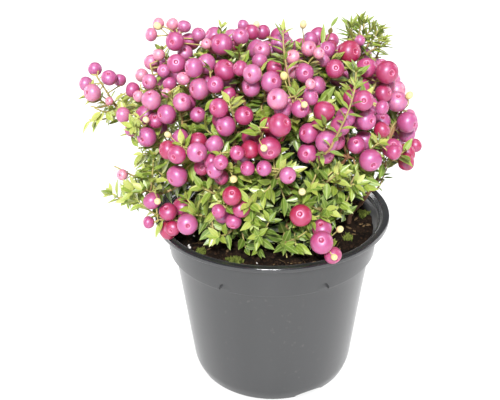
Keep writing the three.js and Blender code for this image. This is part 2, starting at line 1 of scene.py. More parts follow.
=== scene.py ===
"""A prickly heath with pink berries in a round nursery pot.

Blender works in metres. The sizes below are in millimetres and turned into metres where a mesh is made.
+Z is up, -Y faces the viewer, and the origin is the middle of the pot's foot.
"""

import math

import bpy
import numpy as np
from mathutils import Matrix, Vector, noise


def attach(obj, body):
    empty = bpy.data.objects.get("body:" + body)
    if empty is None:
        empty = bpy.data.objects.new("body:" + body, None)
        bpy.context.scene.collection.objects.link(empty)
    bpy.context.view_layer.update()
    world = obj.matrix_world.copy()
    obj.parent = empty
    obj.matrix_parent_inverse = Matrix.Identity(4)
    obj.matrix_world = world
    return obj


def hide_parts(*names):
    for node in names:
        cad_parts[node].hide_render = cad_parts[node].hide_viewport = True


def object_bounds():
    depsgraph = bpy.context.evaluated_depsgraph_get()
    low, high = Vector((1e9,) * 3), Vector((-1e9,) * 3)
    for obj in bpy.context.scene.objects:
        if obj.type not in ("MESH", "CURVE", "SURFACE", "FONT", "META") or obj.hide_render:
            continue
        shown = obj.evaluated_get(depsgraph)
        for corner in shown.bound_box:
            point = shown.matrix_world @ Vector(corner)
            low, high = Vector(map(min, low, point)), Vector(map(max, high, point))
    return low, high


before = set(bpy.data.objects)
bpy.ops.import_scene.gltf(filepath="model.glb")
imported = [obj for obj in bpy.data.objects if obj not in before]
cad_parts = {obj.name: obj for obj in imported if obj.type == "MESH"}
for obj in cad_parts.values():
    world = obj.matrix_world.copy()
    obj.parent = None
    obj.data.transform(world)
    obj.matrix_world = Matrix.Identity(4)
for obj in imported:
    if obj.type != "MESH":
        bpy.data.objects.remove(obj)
frame_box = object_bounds()


# The nursery pot. One injection-moulded shell of satin black plastic: a flat lip, a collar that the
# next pot in a stack sits on, with seven small arched notches in its lower edge, a tapering body, and a
# foot with four shallow drain channels. It comes out of its mould in one piece.

RIM_RADIUS = 60
POT_HEIGHT = 91.2
LIP_UNDERSIDE = 88.9
LIP_INNER_RADIUS = 56.7
COLLAR_HEIGHT = 71.9
POT_FLOOR = 3.6
POT_SEGMENTS = 180
POT_STEP = 6
HOLE_SEGMENTS = 32
NOTCH_COUNT = 7
NOTCH_PHASE = 26.9
NOTCH_WIDTH = 6
NOTCH_TALL = 4
NOTCH_FLOOR_RADIUS = 51.5
DRAIN_COUNT = 4
DRAIN_PHASE = 27
DRAIN_START = 14
DRAIN_WIDTH = 16
DRAIN_TALL = 2.4
DRAIN_HOLE_RADIUS = 4
DRAIN_HOLE_PLACE = 29
DRAIN_HOLE_FROM = -4
DRAIN_HOLE_TO = 8

# Each corner of the pot's section as radius, height and the size of its rounding
POT_SECTION = [
    (0, 0, 0),
    (42, 0, 0.5),
    (43.6, 4.6, 2),
    (51.15, COLLAR_HEIGHT - 0.3, 0.2),
    (53.7, COLLAR_HEIGHT, 0.6),
    (54.5, LIP_UNDERSIDE, 0.5),
    (RIM_RADIUS, LIP_UNDERSIDE, 0.5),
    (RIM_RADIUS, POT_HEIGHT, 0.9),
    (LIP_INNER_RADIUS, POT_HEIGHT, 0.8),
    (53.2, 85, 2),
    (52.6, 77.8, 0.4),
    (50, 77, 0.4),
    (42.2, POT_FLOOR, 1.5),
    (0, POT_FLOOR, 0),
]


def unit(vector):
    return vector / np.linalg.norm(vector)


def rounded(first, corner, last):
    """Five points of a curve from first to last that the corner draws towards itself."""
    return [(1 - t) ** 2 * first + 2 * t * (1 - t) * corner + t * t * last for t in np.linspace(0, 1, 5)]


def filleted(corners, step):
    """The outline through the corners, each rounded, with no stretch longer than the step."""
    points = [np.array(corners[0][:2], float)]
    for before, corner, after in zip(corners, corners[1:], corners[2:]):
        here = np.array(corner[:2], float)
        back = np.array(before[:2], float) - here
        ahead = np.array(after[:2], float) - here
        cut = min(corner[2], np.linalg.norm(back) / 2.1, np.linalg.norm(ahead) / 2.1)
        points += rounded(here + unit(back) * cut, here, here + unit(ahead) * cut)
    points.append(np.array(corners[-1][:2], float))
    outline = [points[0]]
    for point in points[1:]:
        count = max(1, math.ceil(np.linalg.norm(point - outline[-1]) / step))
        start = outline[-1]
        outline += [start + (point - start) * (i + 1) / count for i in range(count)]
    return np.array(outline)


def lathe(outline, segments):
    """Turns an outline of radius and height, both ends on the axis, into points and faces."""
    inner = outline[1:-1]
    rows = len(inner)
    turns = np.arange(segments) * 2 * math.pi / segments
    ring = np.stack([np.cos(turns), np.sin(turns)], 1)
    points = np.zeros((rows, segments, 3))
    points[:, :, :2] = inner[:, 0, None, None] * ring[None]
    points[:, :, 2] = inner[:, 1, None]
    ends = np.array([[0, 0, outline[0][1]], [0, 0, outline[-1][1]]])
    return np.vstack([points.reshape(-1, 3), ends]), closed_faces(rows, segments)


def closed_faces(rows, sides):
    """The faces of rings of points that close on one point before the first ring and one after the last."""
    corner = np.arange(sides)
    beside = (corner + 1) % sides
    faces = [np.stack([corner + r * sides, beside + r * sides, beside + (r + 1) * sides,
                       corner + (r + 1) * sides], 1) for r in range(rows - 1)]
    none = np.full(sides, -1)
    first = np.full(sides, rows * sides)
    faces.append(np.stack([first, beside, corner, none], 1))
    top = (rows - 1) * sides
    faces.append(np.stack([first + 1, corner + top, beside + top, none], 1))
    return np.vstack(faces)


def mesh_piece(name, shape, material, sharp=0.7):
    """A piece of the object, with hard edges where faces meet at more than the angle sharp, in radians.

    Its shape is points in millimetres, faces of three or four corners and, for most, the points' tints.
    """
    points, faces, *tints = shape
    mesh = bpy.data.meshes.new(name)
    corners = faces[faces >= 0].astype(np.int32)
    counts = (faces >= 0).sum(1)
    starts = np.concatenate([[0], np.cumsum(counts)[:-1]]).astype(np.int32)
    mesh.vertices.add(len(points))
    mesh.vertices.foreach_set("co", (np.asarray(points) * 0.001).astype(np.float32).ravel())
    mesh.loops.add(len(corners))
    mesh.loops.foreach_set("vertex_index", corners)
    mesh.polygons.add(len(faces))
    mesh.polygons.foreach_set("loop_start", starts)
    mesh.polygons.foreach_set("use_smooth", np.ones(len(faces), bool))
    mesh.update(calc_edges=True)
    mesh.set_sharp_from_angle(angle=sharp)
    for tint in tints:
        attribute = mesh.attributes.new("tint", "FLOAT_VECTOR", "POINT")
        attribute.data.foreach_set("vector", np.asarray(tint, np.float32).ravel())
    mesh.materials.append(material)
    piece = bpy.data.objects.new(name, mesh)
    bpy.context.scene.collection.objects.link(piece)
    return piece


def carve(piece, shapes):
    """Cuts each of the closed shapes out of the piece."""
    for shape in shapes:
        cutter = mesh_piece("cutter", shape, piece.data.materials[0])
        cut = piece.modifiers.new("cut", "BOOLEAN")
        cut.operation = "DIFFERENCE"
        cut.solver = "MANIFOLD"
        cut.object = cutter
        carved = piece.evaluated_get(bpy.context.evaluated_depsgraph_get())
        whole = bpy.data.meshes.new_from_object(carved)
        piece.modifiers.clear()
        piece.data = whole
        bpy.data.objects.remove(cutter)
    piece.data.set_sharp_from_angle(angle=0.6)


def turned(points, degrees):
    """Turns points that face the viewer round the pot, towards +X."""
    turn = math.radians(degrees)
    x = points[:, 0] * math.cos(turn) - points[:, 1] * math.sin(turn)
    y = points[:, 0] * math.sin(turn) + points[:, 1] * math.cos(turn)
    return np.stack([x, y, points[:, 2]], 1)


def prism(outline, near, far):
    """A closed bar along -Y from near to far, whose section is an outline of (x, z)."""
    ring = np.array(outline, float)
    middle = ring.mean(0)
    points = [[x, -near, z] for x, z in ring] + [[x, -far, z] for x, z in ring]
    points += [[middle[0], -near, middle[1]], [middle[0], -far, middle[1]]]
    return np.array(points), closed_faces(2, len(outline))


def notch_cutter(degrees):
    half = NOTCH_WIDTH / 2
    arch = [(half * math.cos(t), COLLAR_HEIGHT + NOTCH_TALL - half + half * math.sin(t))
            for t in np.linspace(0, math.pi, 13)]
    outline = [(-half, COLLAR_HEIGHT - 1), (half, COLLAR_HEIGHT - 1), *arch]
    points, faces = prism(outline, NOTCH_FLOOR_RADIUS, RIM_RADIUS)
    return turned(points, degrees), faces


def drain_cutter(degrees):
    outline = [(DRAIN_WIDTH / 2 * math.cos(t), DRAIN_TALL * math.sin(t))
               for t in np.linspace(0, 2 * math.pi, 33)[:-1]]
    points, faces = prism(outline, DRAIN_START, RIM_RADIUS)
    return turned(points, degrees), faces


def hole_cutter(degrees):
    outline = np.array([[0, DRAIN_HOLE_FROM], [DRAIN_HOLE_RADIUS, DRAIN_HOLE_FROM],
                        [DRAIN_HOLE_RADIUS, DRAIN_HOLE_TO], [0, DRAIN_HOLE_TO]])
    points, faces = lathe(outline, HOLE_SEGMENTS)
    return turned(points - [0, DRAIN_HOLE_PLACE, 0], degrees), faces


class Wire:
    """An output socket in a material. Python's operators on it add Math nodes."""

    def __init__(self, finish, socket):
        self.finish = finish
        self.socket = socket

    def math(self, operation, *values):
        return self.finish.node("Math", {"operation": operation}, dict(enumerate(values)))

    def __add__(self, other):
        return self.math("ADD", self, other)

    def __sub__(self, other):
        return self.math("SUBTRACT", self, other)

    def __rsub__(self, other):
        return self.math("SUBTRACT", other, self)

    def __mul__(self, other):
        return self.math("MULTIPLY", self, other)

    __radd__ = __add__
    __rmul__ = __mul__

    def step(self, low, high):
        """0 below low, 1 above high, and a smooth rise between them."""
        settings = {"interpolation_type": "SMOOTHSTEP"}
        return self.finish.node("MapRange", settings, {"Value": self, "From Min": low, "From Max": high})


class Finish:
    """A material whose nodes are added by node()."""

    def __init__(self, name):
        self.material = bpy.data.materials.new(name)
        self.material.use_nodes = True
        self.tree = self.material.node_tree
        self.tree.nodes.clear()

    def node(self, kind, settings, inputs, output=0):
        """Adds a node of this kind, with its settings, then the values or wires of its sockets."""
        node = self.tree.nodes.new("ShaderNode" + kind)
        for key, value in settings.items():
            if key == "stops":
                ramp = node.color_ramp.elements
                while len(ramp) < len(value):
                    ramp.new(0.5)
                for element, (place, colour) in zip(ramp, value):
                    element.position = place
                    element.color = (*colour, 1)
            else:
                setattr(node, key, value)
        for key, value in inputs.items():
            if isinstance(value, Wire):
                self.tree.links.new(value.socket, node.inputs[key])
            else:
                node.inputs[key].default_value = value
        return Wire(self, node.outputs[output])

    def place(self):
        """Where a point of the surface is, in metres."""
        return self.node("TexCoord", {}, {}, "Object")

    def tint(self, part):
        """One of the three numbers that a mesh keeps for each of its points."""
        whole = self.node("Attribute", {"attribute_name": "tint"}, {}, "Vector")
        return self.node("SeparateXYZ", {}, {"Vector": whole}, part)

    def noise(self, scale, detail=3, stretch=(1, 1, 1)):
        """Soft random spots, scale of them to a metre."""
        where = self.node("Mapping", {}, {"Vector": self.place(), "Scale": stretch})
        return self.node("TexNoise", {}, {"Vector": where, "Scale": scale, "Detail": detail})

    def ramp(self, factor, *stops):
        return self.node("ValToRGB", {"stops": stops}, {"Fac": factor})

    def mix(self, factor, one, other):
        """A colour between two colours."""
        one, other = ((*c, 1) if isinstance(c, tuple) else c for c in (one, other))
        return self.node("Mix", {"data_type": "RGBA"}, {0: factor, 6: one, 7: other}, 2)

    def bump(self, height, distance, strength=1.0):
        return self.node("Bump", {}, {"Height": height, "Distance": distance, "Strength": strength})

    def surface(self, inputs):
        """Ends the material with its surface, and gives the material."""
        shader = self.node("BsdfPrincipled", {}, inputs)
        output = self.tree.nodes.new("ShaderNodeOutputMaterial")
        self.tree.links.new(shader.socket, output.inputs["Surface"])
        return self.material


def pot_plastic():
    """Satin black plastic with fine moulding grain, faint upright flow streaks and a little dust."""
    finish = Finish("pot_plastic")
    streaks = finish.noise(60, 4, (1, 1, 0.04))
    cloud = finish.noise(30, 3)
    grain = finish.noise(2600, 2)
    dust = finish.noise(420, 5).step(0.6, 0.75) * cloud.step(0.4, 0.7)
    shade = finish.mix(streaks, (0.008, 0.009, 0.01), (0.026, 0.027, 0.03))
    colour = finish.mix(dust * 0.35, shade, (0.17, 0.16, 0.145))
    height = finish.node("SeparateXYZ", {}, {"Vector": finish.place()}, "Z")
    lip = height.step(LIP_UNDERSIDE * 0.001 - 0.0004, LIP_UNDERSIDE * 0.001 + 0.0004)
    rough = 0.28 + streaks * 0.16 + dust * 0.2 - lip * 0.21
    bump = finish.bump(grain * 0.6 + streaks * 0.5, 0.00012, 0.5)
    return finish.surface({"Base Color": colour, "Roughness": rough, "Normal": bump, "IOR": 1.82,
                           "Sheen Weight": 0.17, "Sheen Roughness": 0.4})


pot = mesh_piece("nursery_pot", lathe(filleted(POT_SECTION, POT_STEP), POT_SEGMENTS), pot_plastic())
cutters = [notch_cutter(NOTCH_PHASE + 360 / NOTCH_COUNT * i) for i in range(NOTCH_COUNT)]
cutters += [drain_cutter(DRAIN_PHASE + 360 / DRAIN_COUNT * i) for i in range(DRAIN_COUNT)]
cutters += [hole_cutter(DRAIN_PHASE + 360 / DRAIN_COUNT * i) for i in range(DRAIN_COUNT)]
carve(pot, cutters)
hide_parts("pot")
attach(pot, "root")


# The soil. A plug of dark peat that fills the pot to just under its lip. Its top is crumbly, and
# watering has left it lumpy.

SOIL_TOP = 84.4
SOIL_RELIEF = 1.1
SOIL_EDGE_RADIUS = 52.3
SOIL_EDGE_WIDTH = 1.8
SOIL_EDGE_SINK = 1.4
SOIL_RINGS = 74
SOIL_SEGMENTS = 220

# The soil's underside and its side, along the pot's inside, as radius and height
SOIL_SIDE = [(0, 4), (41.8, 4), (49.6, 76.8), (52, 78.3), (52.2, 81)]


def soil_height(x, y):
    broad = math.sin(x * 0.17 + 1.1) * math.cos(y * 0.14 - 0.4)
    lumps = math.sin(x * 0.43 + y * 0.29) * math.cos(y * 0.47 - x * 0.21)
    return SOIL_TOP + SOIL_RELIEF * (0.6 * broad + 0.5 * lumps)


def crumbly_height(x, y):
    """The soil's height with its clods and crumbs."""
    clods = noise.noise(Vector((x * 0.22, y * 0.22, 3))) * 1.3
    crumbs = noise.noise(Vector((x * 0.7, y * 0.7, 9))) * 0.8
    grains = noise.noise(Vector((x * 2.1, y * 2.1, 5))) * 0.35
    return soil_height(x, y) + clods + crumbs + grains


def soil_plug():
    radii = np.concatenate([np.linspace(0, SOIL_EDGE_RADIUS - 0.6, SOIL_RINGS)[1:], [SOIL_EDGE_RADIUS]])
    top = [(radius, SOIL_TOP) for radius in radii[::-1]]
    points, faces = lathe(np.array([*SOIL_SIDE, *top, (0, SOIL_TOP)]), SOIL_SEGMENTS)
    for point in points:
        if point[2] > SOIL_TOP - 0.1:
            past = max(0, math.hypot(point[0], point[1]) - (SOIL_EDGE_RADIUS - SOIL_EDGE_WIDTH))
            point[2] = crumbly_height(point[0], point[1]) - SOIL_EDGE_SINK * past / SOIL_EDGE_WIDTH
    return points, faces


def wet_peat():
    """Near-black damp peat, browner on its crumbs, with a wet glint here and there."""
    finish = Finish("wet_peat")
    clods = finish.noise(160, 6)
    crumbs = finish.noise(900, 6)
    damp = finish.noise(70, 3)
    dark = finish.mix(clods.step(0.35, 0.7), (0.005, 0.003, 0.002), (0.022, 0.012, 0.007))
    colour = finish.mix(crumbs.step(0.52, 0.78), dark, (0.07, 0.038, 0.018))
    rough = 0.95 - damp.step(0.5, 0.75) * 0.35
    bump = finish.bump(crumbs + clods * 0.6, 0.0009)
    return finish.surface({"Base Color": colour, "Roughness": rough, "Normal": bump,
                           "Specular IOR Level": 0.15})


soil = mesh_piece("potting_soil", soil_plug(), wet_peat(), sharp=3)
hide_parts("soil")
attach(soil, "root")


# The plant's plan. The heath branches from fourteen woody stems, and each bunch of berries sits round
# the end of a twig. Everything finds a way round what is there already, as growing shoots do, so the
# plan is worked out before any wood, leaf or berry is made.

# The height at which a stem starts in the soil, how far it leans out and how high up it turns, its radii,
# and the bows to the side that it tries in turn
STEM_SINK = 71
STEM_LEAN = 1.25
STEM_KNEE = 0.55
STEM_RADIUS = 1.3
STEM_TIP_RADIUS = 0.7
STEM_BOWS = (0, 0.2, -0.2, 0.4, -0.4, 0.6, -0.6)

# A twig bows to the side in steps, is straight before its bunch's middle, and goes past it by a reach
TWIG_RADIUS = 0.6
TWIG_BOW = 4
TWIG_TOP = 183
TWIG_STRAIGHT = 9
TWIG_REACHES = (4, 13)
SHOWN_REACH = 5
SHOOT_REACH = 9

# From this height, and over so much more of it, the ends of the twigs turn from outward to upward
LIFT_FROM = 95
LIFT_OVER = 80

# How far each berry of a bunch is above the last and sunk into it, the size of their ring, and how far
# they stay from the rim and the soil
BERRY_RISE = 2.4
BERRY_SINK = 1.5
BUNCH_RING = 1.15
RIM_GAP = 0.6
RIM_MARGIN = 4
SOIL_GAP = 2

# Things of different owners stay this far apart. Each is taken as a row of balls, so far from one another
CLEARANCE = 0.35
BALL_STEP = 1.2
LARGEST_BALL = 7
ROOM_SIZE = 60000

# Each stem: where it leaves the soil, and where its leader ends
STEMS = {
    "stem_left": ((-22, -6), (-66, -10, 136)),
    "stem_left_front": ((-17, -15), (-44, -28, 132)),
    "stem_front_left": ((-7, -22), (-18, -40, 130)),
    "stem_front_right": ((8, -22), (5, -42, 130)),
    "stem_right_front": ((19, -14), (34, -34, 134)),
    "stem_right": ((26, -3), (54, -17, 132)),
    "stem_top_left": ((-14, 2), (-44, -5, 154)),
    "stem_top_middle": ((-5, -9), (-13, -18, 158)),
    "stem_top_right": ((8, -8), (13, -20, 156)),
    "stem_right_top": ((16, 6), (38, -4, 154)),
    "stem_back_left": ((-14, 15), (-42, 24, 146)),
    "stem_back": ((0, 12), (0, 34, 150)),
    "stem_back_right": ((14, 18), (38, 26, 146)),
    "stem_low_right": ((40, -5), (62, 10, 118)),
}

# Each bunch: its stem, its middle, its berries' radius, how ripe they are, and how many it bears
BUNCHES = {
    "berries_left_far": ("stem_left", (-80, -6, 160), 4, 0.4, 6),
    "berries_top_left": ("stem_top_left", (-43, -3, 177), 4.2, 0.4, 7),
    "berries_left_shoulder": ("stem_top_left", (-54, -12, 166), 4.1, 0.35, 7),
    "berries_left_upper": ("stem_left_front", (-43, -29, 157), 4.3, 0.5, 8),
    "berries_left_middle": ("stem_left_front", (-57, -27, 146), 4.3, 0.4, 7),
    "berries_left_front": ("stem_left_front", (-37, -41, 140), 4.6, 0.6, 7),
    "berries_top_middle_left": ("stem_top_middle", (-19, -9, 178), 4.5, 0.6, 7),
    "berries_upper_left": ("stem_top_middle", (-26, -27, 168), 4.4, 0.5, 8),
    "berries_top_middle": ("stem_top_middle", (-1, -14, 179), 4.2, 0.5, 7),
    "berries_upper_front_left": ("stem_front_left", (-17, -39, 157), 4.3, 0.6, 8),
    "berries_front_middle": ("stem_front_right", (-4, -47, 149), 4.9, 0.9, 7),
    "berries_front_left": ("stem_front_left", (-20, -48, 138), 4.3, 0.5, 8),
    "berries_top_middle_right": ("stem_top_right", (16, -8, 179), 4.1, 0.4, 7),
    "berries_top_right": ("stem_right_top", (33, -7, 173), 4.9, 0.7, 7),
    "berries_upper_right": ("stem_top_right", (15, -26, 170), 4.2, 0.3, 8),
    "berries_upper_middle": ("stem_top_middle", (-4, -32, 168), 4.3, 0.5, 8),
    "berries_upper_front_right": ("stem_top_right", (10, -40, 160), 4.2, 0.4, 8),
    "berries_front_right": ("stem_right_front", (22, -44, 149), 4.3, 0.6, 8),
    "berries_right_shoulder": ("stem_right_top", (47, -19, 166), 4.6, 0.6, 7),
    "berries_right_top": ("stem_right", (54, -4, 160), 4.1, 0.4, 7),
    "berries_right_upper": ("stem_right_front", (38, -33, 157), 4.3, 0.5, 8),
    "berries_right_outer": ("stem_right", (62, -13, 147), 4.3, 0.5, 7),
    "berries_right_lower": ("stem_right", (58, -27, 132), 4.6, 0.8, 6),
    "berries_right_front": ("stem_right_front", (44, -36, 139), 4.5, 0.8, 7),
    "berries_front_low_middle": ("stem_front_right", (3, -50, 134), 4.3, 0.5, 6),
    "berries_low_front_left": ("stem_front_left", (-18, -46, 115), 4.4, 0.8, 3),
    "berries_low_front_right": ("stem_front_right", (13, -46, 111), 4.9, 1, 1),
    "berries_over_rim": ("stem_front_right", (24, -47, 98), 4.7, 0.9, 4),
    "berries_low_left": ("stem_left_front", (-49, -35, 103), 4.3, 0.7, 6),
    "berries_left_pale": ("stem_left", (-72, -12, 118), 3.4, 0.1, 1),
    "berries_right_side": ("stem_low_right", (65, 8, 137), 4.3, 0.6, 6),
    "berries_back_top": ("stem_back", (1, 9, 179), 4.3, 0.5, 7),
    "berries_back_top_left": ("stem_back_left", (-23, 14, 176), 4.3, 0.4, 7),
    "berries_back_top_right": ("stem_back_right", (28, 15, 175), 4.3, 0.6, 7),
    "berries_back_left_shoulder": ("stem_back_left", (-51, 14, 163), 4.2, 0.4, 7),
    "berries_back_upper_left": ("stem_back", (-16, 36, 166), 4.4, 0.6, 8),
    "berries_back_upper_right": ("stem_back", (14, 37, 166), 4.3, 0.5, 8),
    "berries_back_right_shoulder": ("stem_back_right", (50, 20, 160), 4.3, 0.5, 7),
    "berries_back_left": ("stem_back_left", (-56, 29, 141), 4.4, 0.6, 7),
    "berries_back_middle_left": ("stem_back", (-17, 54, 140), 4.5, 0.7, 7),
    "berries_back_middle_right": ("stem_back", (17, 54, 141), 4.3, 0.4, 7),
    "berries_back_right": ("stem_back_right", (48, 37, 141), 4.4, 0.6, 7),
    "berries_back_low_left": ("stem_back_left", (-40, 46, 116), 4.4, 0.7, 4),
    "berries_back_low_right": ("stem_back_right", (35, 48, 116), 4.3, 0.6, 4),
}

# The tips of the leafy shoots that bear no berries
SHOOTS = {
    "stem_left": ((-85, -9, 141), (-80, -8, 103), (-76, -12, 128), (-70, 10, 126), (-64, -22, 113)),
    "stem_left_front": ((-58, -34, 118), (-34, -44, 110), (-30, -49, 126)),
    "stem_front_left": ((-24, -46, 100), (-6, -47, 101), (-10, -52, 120)),
    "stem_front_right": ((6, -48, 97), (16, -50, 122), (24, -46, 114)),
    "stem_right_front": ((33, -38, 107), (37, -39, 123), (40, -32, 172), (29, -47, 132)),
    "stem_right": ((66, -7, 156), (46, -23, 113), (56, -14, 113)),
    "stem_top_left": ((-31, -14, 177), (-62, 6, 156), (-33, 6, 182)),
    "stem_top_middle": ((-11, 4, 184), (-14, -24, 180)),
    "stem_top_right": ((6, -26, 184), (25, -2, 183), (26, -22, 174)),
    "stem_right_top": ((43, 6, 184), (50, 4, 178), (38, 11, 181)),
    "stem_back_left": ((-40, 28, 166), (-66, 12, 146), (-60, 34, 120), (-34, 50, 132)),
    "stem_back": ((-1, 26, 181), (0, 50, 155), (0, 60, 124), (-20, 52, 112)),
    "stem_back_right": ((20, 28, 178), (34, 44, 158), (62, 26, 144), (52, 40, 118)),
    "stem_low_right": ((64, -6, 122), (63, 18, 116)),
}

UP = np.array([0.0, 0.0, 1.0])


def chance(a, b, c=0):
    """A number from 0 to 1 that depends only on what it is for."""
    wave = math.sin(a * 12.9898 + b * 78.233 + c * 37.719) * 43758.5453
    return wave - math.floor(wave)


def between(one, other, share):
    return one + (other - one) * share


def held(value, low=0, high=1):
    """The value, or the limit that it goes past."""
    return min(high, max(low, value))


def way_out(at, rise):
    """The level way from the pot's axis out to a place, turned up by a rise over that distance."""
    return unit(np.array([at[0], at[1], rise]))


def one_ball(at, radius):
    return np.array([[*at, radius]])


class Room:
    """What has been placed so far, as balls that belong to an owner."""

    def __init__(self):
        self.balls = np.zeros((ROOM_SIZE, 4))
        self.owners = np.zeros(ROOM_SIZE, int)
        self.count = 0
        self.names = {}

    def claim(self, balls, owner):
        number = self.names.setdefault(owner, len(self.names))
        end = self.count + len(balls)
        self.balls[self.count:end] = balls
        self.owners[self.count:end] = number
        self.count = end

    def is_clear(self, balls, owner, gap=CLEARANCE):
        """Whether the balls keep the gap to all that others own."""
        balls = np.asarray(balls)
        placed = self.balls[:self.count]
        reach = gap + balls[:, 3].max() + LARGEST_BALL
        low = balls[:, :3].min(0) - reach
        high = balls[:, :3].max(0) + reach
        near = (placed[:, :3] > low).all(1) & (placed[:, :3] < high).all(1)
        near &= self.owners[:self.count] != self.names.get(owner, -1)
        others = placed[near]
        apart = np.linalg.norm(balls[:, None, :3] - others[None, :, :3], axis=2)
        return bool((apart >= balls[:, None, 3] + others[None, :, 3] + gap).all())


def balls_along(path, radius):
    balls = []
    for before, point in zip(path, path[1:]):
        count = max(1, math.ceil(np.linalg.norm(point - before) / BALL_STEP))
        balls += [[*between(before, point, j / count), radius] for j in range(count)]
    balls.append([*path[-1], radius])
    return np.array(balls)


def twig_axis(at, seed):
    """The way a twig points at its end: outward low down, upward near the top."""
    lift = held((at[2] - LIFT_FROM) / LIFT_OVER)
    axis = way_out(at, 0) * (1.15 - lift) + UP * (0.15 + lift)
    axis[0] += 0.3 * (chance(seed, 1) - 0.5)
    axis[1] += 0.3 * (chance(seed, 2) - 0.5)
    return unit(axis)


def square_to(axis):
    """Two directions square to an axis and to each other."""
    first = np.cross(UP, axis)
    if np.linalg.norm(first) < 0.1:
        first = np.cross([1.0, 0.0, 0.0], axis)
    first = unit(first)
    return first, np.cross(axis, first)


def around(first, second, turn):
    return first * math.cos(turn) + second * math.sin(turn)


class Bunch:
    """Berries that sit one by one up and down a helix round a twig, each touching the last."""

    def __init__(self, seed, name, row):
        self.seed = seed
        self.name = name
        self.stem, at, self.size, self.ripe, self.most = row
        self.at = np.array(at, float)
        self.axis = twig_axis(self.at, seed)
        self.first, self.second = square_to(self.axis)
        self.ring = self.size * BUNCH_RING + 2 * TWIG_RADIUS
        self.clear()

    def clear(self):
        self.ends = [None, None]
        self.berries = []

    def grow(self, room, turn, sink, gap, fits=None):
        """Adds the berry of this turn, unless that end of the chain has no room left."""
        end = turn % 2
        last = self.ends[end]
        if last == "full" or turn >= self.most:
            return
        radius = self.size * (0.8 + 0.35 * chance(self.seed, turn, 3))
        angle = 2 * math.pi * chance(self.seed, 5)
        rise = 0
        if last:
            reach = last["radius"] + radius - sink
            chord = math.sqrt(reach * reach - BERRY_RISE * BERRY_RISE)
            step = 2 * math.asin(min(1, chord / (2 * self.ring)))
            way = -1 if end else 1
            angle = last["angle"] + way * step
            rise = last["rise"] + way * BERRY_RISE
        out = around(self.first, self.second, angle)
        at = self.at + self.axis * rise + out * self.ring
        floor = SOIL_TOP + SOIL_GAP
        if math.hypot(at[0], at[1]) + radius > LIP_INNER_RADIUS - RIM_MARGIN:
            floor = POT_HEIGHT + RIM_GAP
        blocked = at[2] - radius < floor or not room.is_clear(one_ball(at, radius), self.name, gap)
        if fits:
            blocked = blocked or not fits(at, radius) or self.touches(at, radius, last)
        if blocked:
            self.ends[end] = "full"
            return
        berry = self.add(room, at, radius, rise, out, turn, angle)
        self.ends = self.ends if last else [berry, berry]
        self.ends[end] = berry

    def touches(self, at, radius, but=None):
        """Whether a berry would touch one of this bunch, other than the one it hangs on to."""
        mates = [berry for berry in self.berries if berry is not but]
        return any(np.linalg.norm(at - mate["at"]) < radius + mate["radius"] for mate in mates)

    def add(self, room, at, radius, rise, out, turn, angle=0):
        """Keeps a berry, how far along the twig it hangs, and its way out from the twig."""
        berry = {"at": at, "radius": radius, "angle": angle, "rise": rise, "out": out, "turn": turn}
        self.berries.append(berry)
        room.claim(one_ball(at, radius), self.name)
        return berry


def stem_path(root, tip, bow):
    x, y = root
    start = np.array([x, y, SOIL_TOP + 4])
    height = between(SOIL_TOP, tip[2], STEM_KNEE)
    knee = np.array([x * STEM_LEAN - y * bow, y * STEM_LEAN + x * bow, height])
    return [np.array([x, y, STEM_SINK]), *rounded(start, knee, np.array(tip))]


def twig_paths(stem, end, axis, straight, reach):
    """The ways in which a twig can leave its stem and reach a place along an axis, the shortest first."""
    paths = []
    entry = end - axis * straight
    first, second = square_to(axis)
    for row in range(2, len(stem)):
        for share in (1, 0.5):
            start = between(stem[row - 1], stem[row], share)
            far = np.linalg.norm(start - entry)
            turn_back = 2 * max(0, (start - entry) @ axis)
            droop = 0.5 * max(0, start[2] - entry[2] - 4)
            for k in range(17):
                way = TWIG_BOW * math.ceil(k / 8)
                middle = between(start, entry, 0.55) - axis * 0.12 * far
                middle = middle + around(first, second, k * math.pi / 4) * way
                bow = [middle] if way else []
                path = [start, *bow, entry, end + axis * reach]
                paths.append((far + way * 0.6 + turn_back + droop, len(paths), path))
    return [path for _, _, path in sorted(paths, key=lambda row: row[:2])]


def shoot_paths(stem, tip, axis):
    first, second = square_to(axis)
    for k in range(7):
        end = tip - axis * SHOOT_REACH + around(first, second, k) * (TWIG_BOW if k else 0)
        yield from twig_paths(stem, end, axis, 0, SHOOT_REACH)


def is_high(point):
    return point[2] > SOIL_TOP + (9 if math.hypot(point[0], point[1]) > 50 else 3)


def first_clear(paths, owner, room):
    for path in paths:
        if all(is_high(p) for p in path[1:]) and room.is_clear(balls_along(path, TWIG_RADIUS), owner):
            return path
    return None


